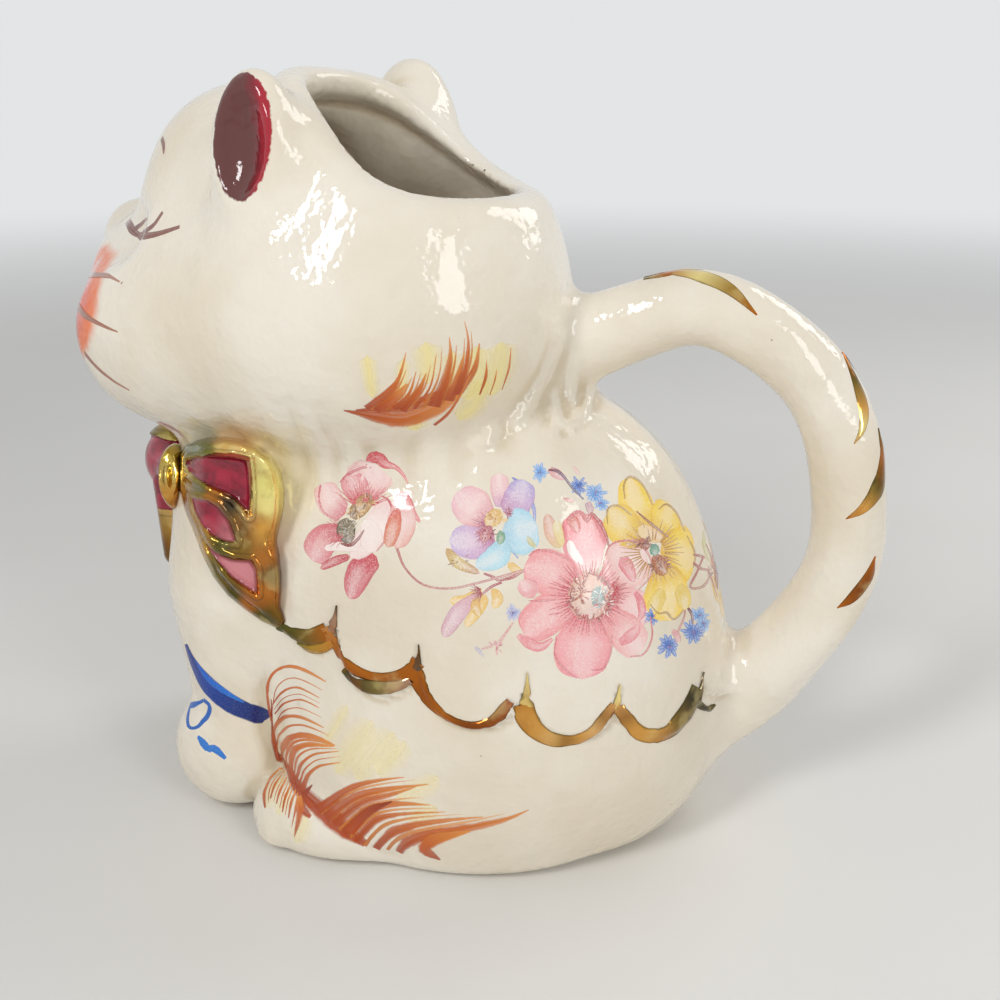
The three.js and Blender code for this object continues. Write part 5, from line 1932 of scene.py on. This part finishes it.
class JugStage(Operator):
    """Sets up the floor, the lamps and the camera"""
    bl_idname = "jug.stage"
    bl_label = "Stage"

    def execute(self, context):
        stage = context.scene.jug_stage
        f = Finish("studio_floor")
        grain = f.noise(0.02, 4)
        floor_tone = f.mix(f.step(grain, 0.3, 0.7) * 0.5, stage.floor, colour("#E3E1DC"))
        near = f.node("ShaderNodeBsdfPrincipled", {}, {"Base Color": floor_tone, "Roughness": 0.6})
        far = f.node("ShaderNodeEmission", {}, {"Color": stage.backdrop})
        away = f.node("ShaderNodeVectorMath", {"operation": "LENGTH"}, {0: f.place}, "Value")
        ground = f.node("ShaderNodeMixShader", {}, {0: f.step(away, 260, 1100), 1: near, 2: far})
        f.node("ShaderNodeOutputMaterial", {}, {"Surface": ground})
        corners = FLOOR_REACH * np.array([(-1, -1, 0), (1, -1, 0), (1, 1, 0), (-1, 1, 0)])
        floor = link("floor", corners - SHIFT, [(0, 1, 2, 3)])
        floor.data.materials.append(f.material)

        world = bpy.data.worlds.new("studio")
        world.use_nodes = True
        context.scene.world = world
        w = Bench(world.node_tree)
        w.tree.nodes.clear()
        light = w.node("ShaderNodeBackground", {}, {"Color": (0.95, 0.97, 1.0, 1.0), "Strength": 0.42})
        shown = w.node("ShaderNodeBackground", {}, {"Color": stage.backdrop, "Strength": 1.0})
        ray = w.node("ShaderNodeLightPath", {}, {}, "Is Camera Ray")
        seen_by = w.node("ShaderNodeMath", {"operation": "MAXIMUM"}, {0: ray, 1: ray.of("Is Glossy Ray")})
        seen_by = w.node(
            "ShaderNodeMath", {"operation": "MAXIMUM"}, {0: seen_by, 1: ray.of("Is Transmission Ray")}
        )
        sky = w.node("ShaderNodeMixShader", {}, {0: seen_by, 1: light, 2: shown})
        w.node("ShaderNodeOutputWorld", {}, {"Surface": sky})

        # Each lamp's place in millimetres, its width and height in metres, and its power
        aim = Vector(((0, 0, 55) + SHIFT) * MM)
        lamps = {
            "key_window": ((-190, -385, 410), 0.10, 0.22, stage.key),
            "back_window": ((330, 260, 360), 0.20, 0.30, stage.key * 0.55),
            "side_window": ((400, -320, 260), 0.16, 0.32, stage.key * 0.6),
        }
        for name, (place, width, height, power) in lamps.items():
            lamp = bpy.data.lights.new(name, "AREA")
            lamp.shape = "RECTANGLE"
            lamp.size, lamp.size_y = width, height
            lamp.energy = power
            made = bpy.data.objects.new(name, lamp)
            context.scene.collection.objects.link(made)
            made.location = Vector((np.array(place) + SHIFT) * MM)
            made.rotation_euler = (aim - made.location).to_track_quat("-Z", "Y").to_euler()

        lens = bpy.data.cameras.new("viewpoint")
        lens.sensor_width = 36.0
        lens.lens = FOCAL_PIXELS / PICTURE_SIDE * lens.sensor_width
        lens.clip_start, lens.clip_end = 0.01, 20.0
        camera = bpy.data.objects.new("viewpoint", lens)
        context.scene.collection.objects.link(camera)
        camera.location = Vector((EYE_PLACE + SHIFT) * MM)
        camera.rotation_euler = (math.pi / 2 - EYE_PITCH, 0, EYE_HEADING)
        context.scene.camera = camera
        context.scene.view_settings.view_transform = "Standard"
        return {"FINISHED"}


class JugPanel(Panel):
    """Lists the jug's pieces and their settings"""
    bl_idname = "VIEW3D_PT_jug"
    bl_label = "Cream jug"
    bl_space_type = "VIEW_3D"
    bl_region_type = "UI"
    bl_category = "Jug"

    def draw(self, context):
        for title, settings, operator in ROWS:
            column = self.layout.column(align=True)
            column.label(text=title)
            group = getattr(context.scene, settings)
            for key in group.__annotations__:
                column.prop(group, key)
            column.operator(operator)


ROWS = [
    ("Glaze", "jug_glaze", JugGlazedBody.bl_idname),
    ("Bow", "jug_bow", JugBow.bl_idname),
    ("Gilding", "jug_gilt", JugGilding.bl_idname),
    ("Fur", "jug_glaze", JugFurBrushwork.bl_idname),
    ("Flowers", "jug_glaze", JugFlowerSpray.bl_idname),
    ("Face", "jug_glaze", JugFace.bl_idname),
    ("Stage", "jug_stage", JugStage.bl_idname),
]
SETTINGS = {
    "jug_glaze": JugGlazeSettings,
    "jug_gilt": JugGiltSettings,
    "jug_bow": JugBowSettings,
    "jug_stage": JugStageSettings,
}
CLASSES = [
    *SETTINGS.values(), JugGlazedBody, JugBow, JugGilding, JugFurBrushwork, JugFlowerSpray, JugFace,
    JugStage, JugPanel,
]


def register():
    for cls in CLASSES:
        bpy.utils.register_class(cls)
    for name, cls in SETTINGS.items():
        setattr(bpy.types.Scene, name, PointerProperty(type=cls))


def unregister():
    for name in SETTINGS:
        delattr(bpy.types.Scene, name)
    for cls in reversed(CLASSES):
        bpy.utils.unregister_class(cls)


def main():
    register()
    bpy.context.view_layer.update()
    bpy.ops.jug.glazed_body()
    bpy.ops.jug.bow()
    bpy.ops.jug.gilding()
    bpy.ops.jug.fur_brushwork()
    bpy.ops.jug.flower_spray()
    bpy.ops.jug.face()
    bpy.ops.jug.stage()


if __name__ == "__main__":
    main()
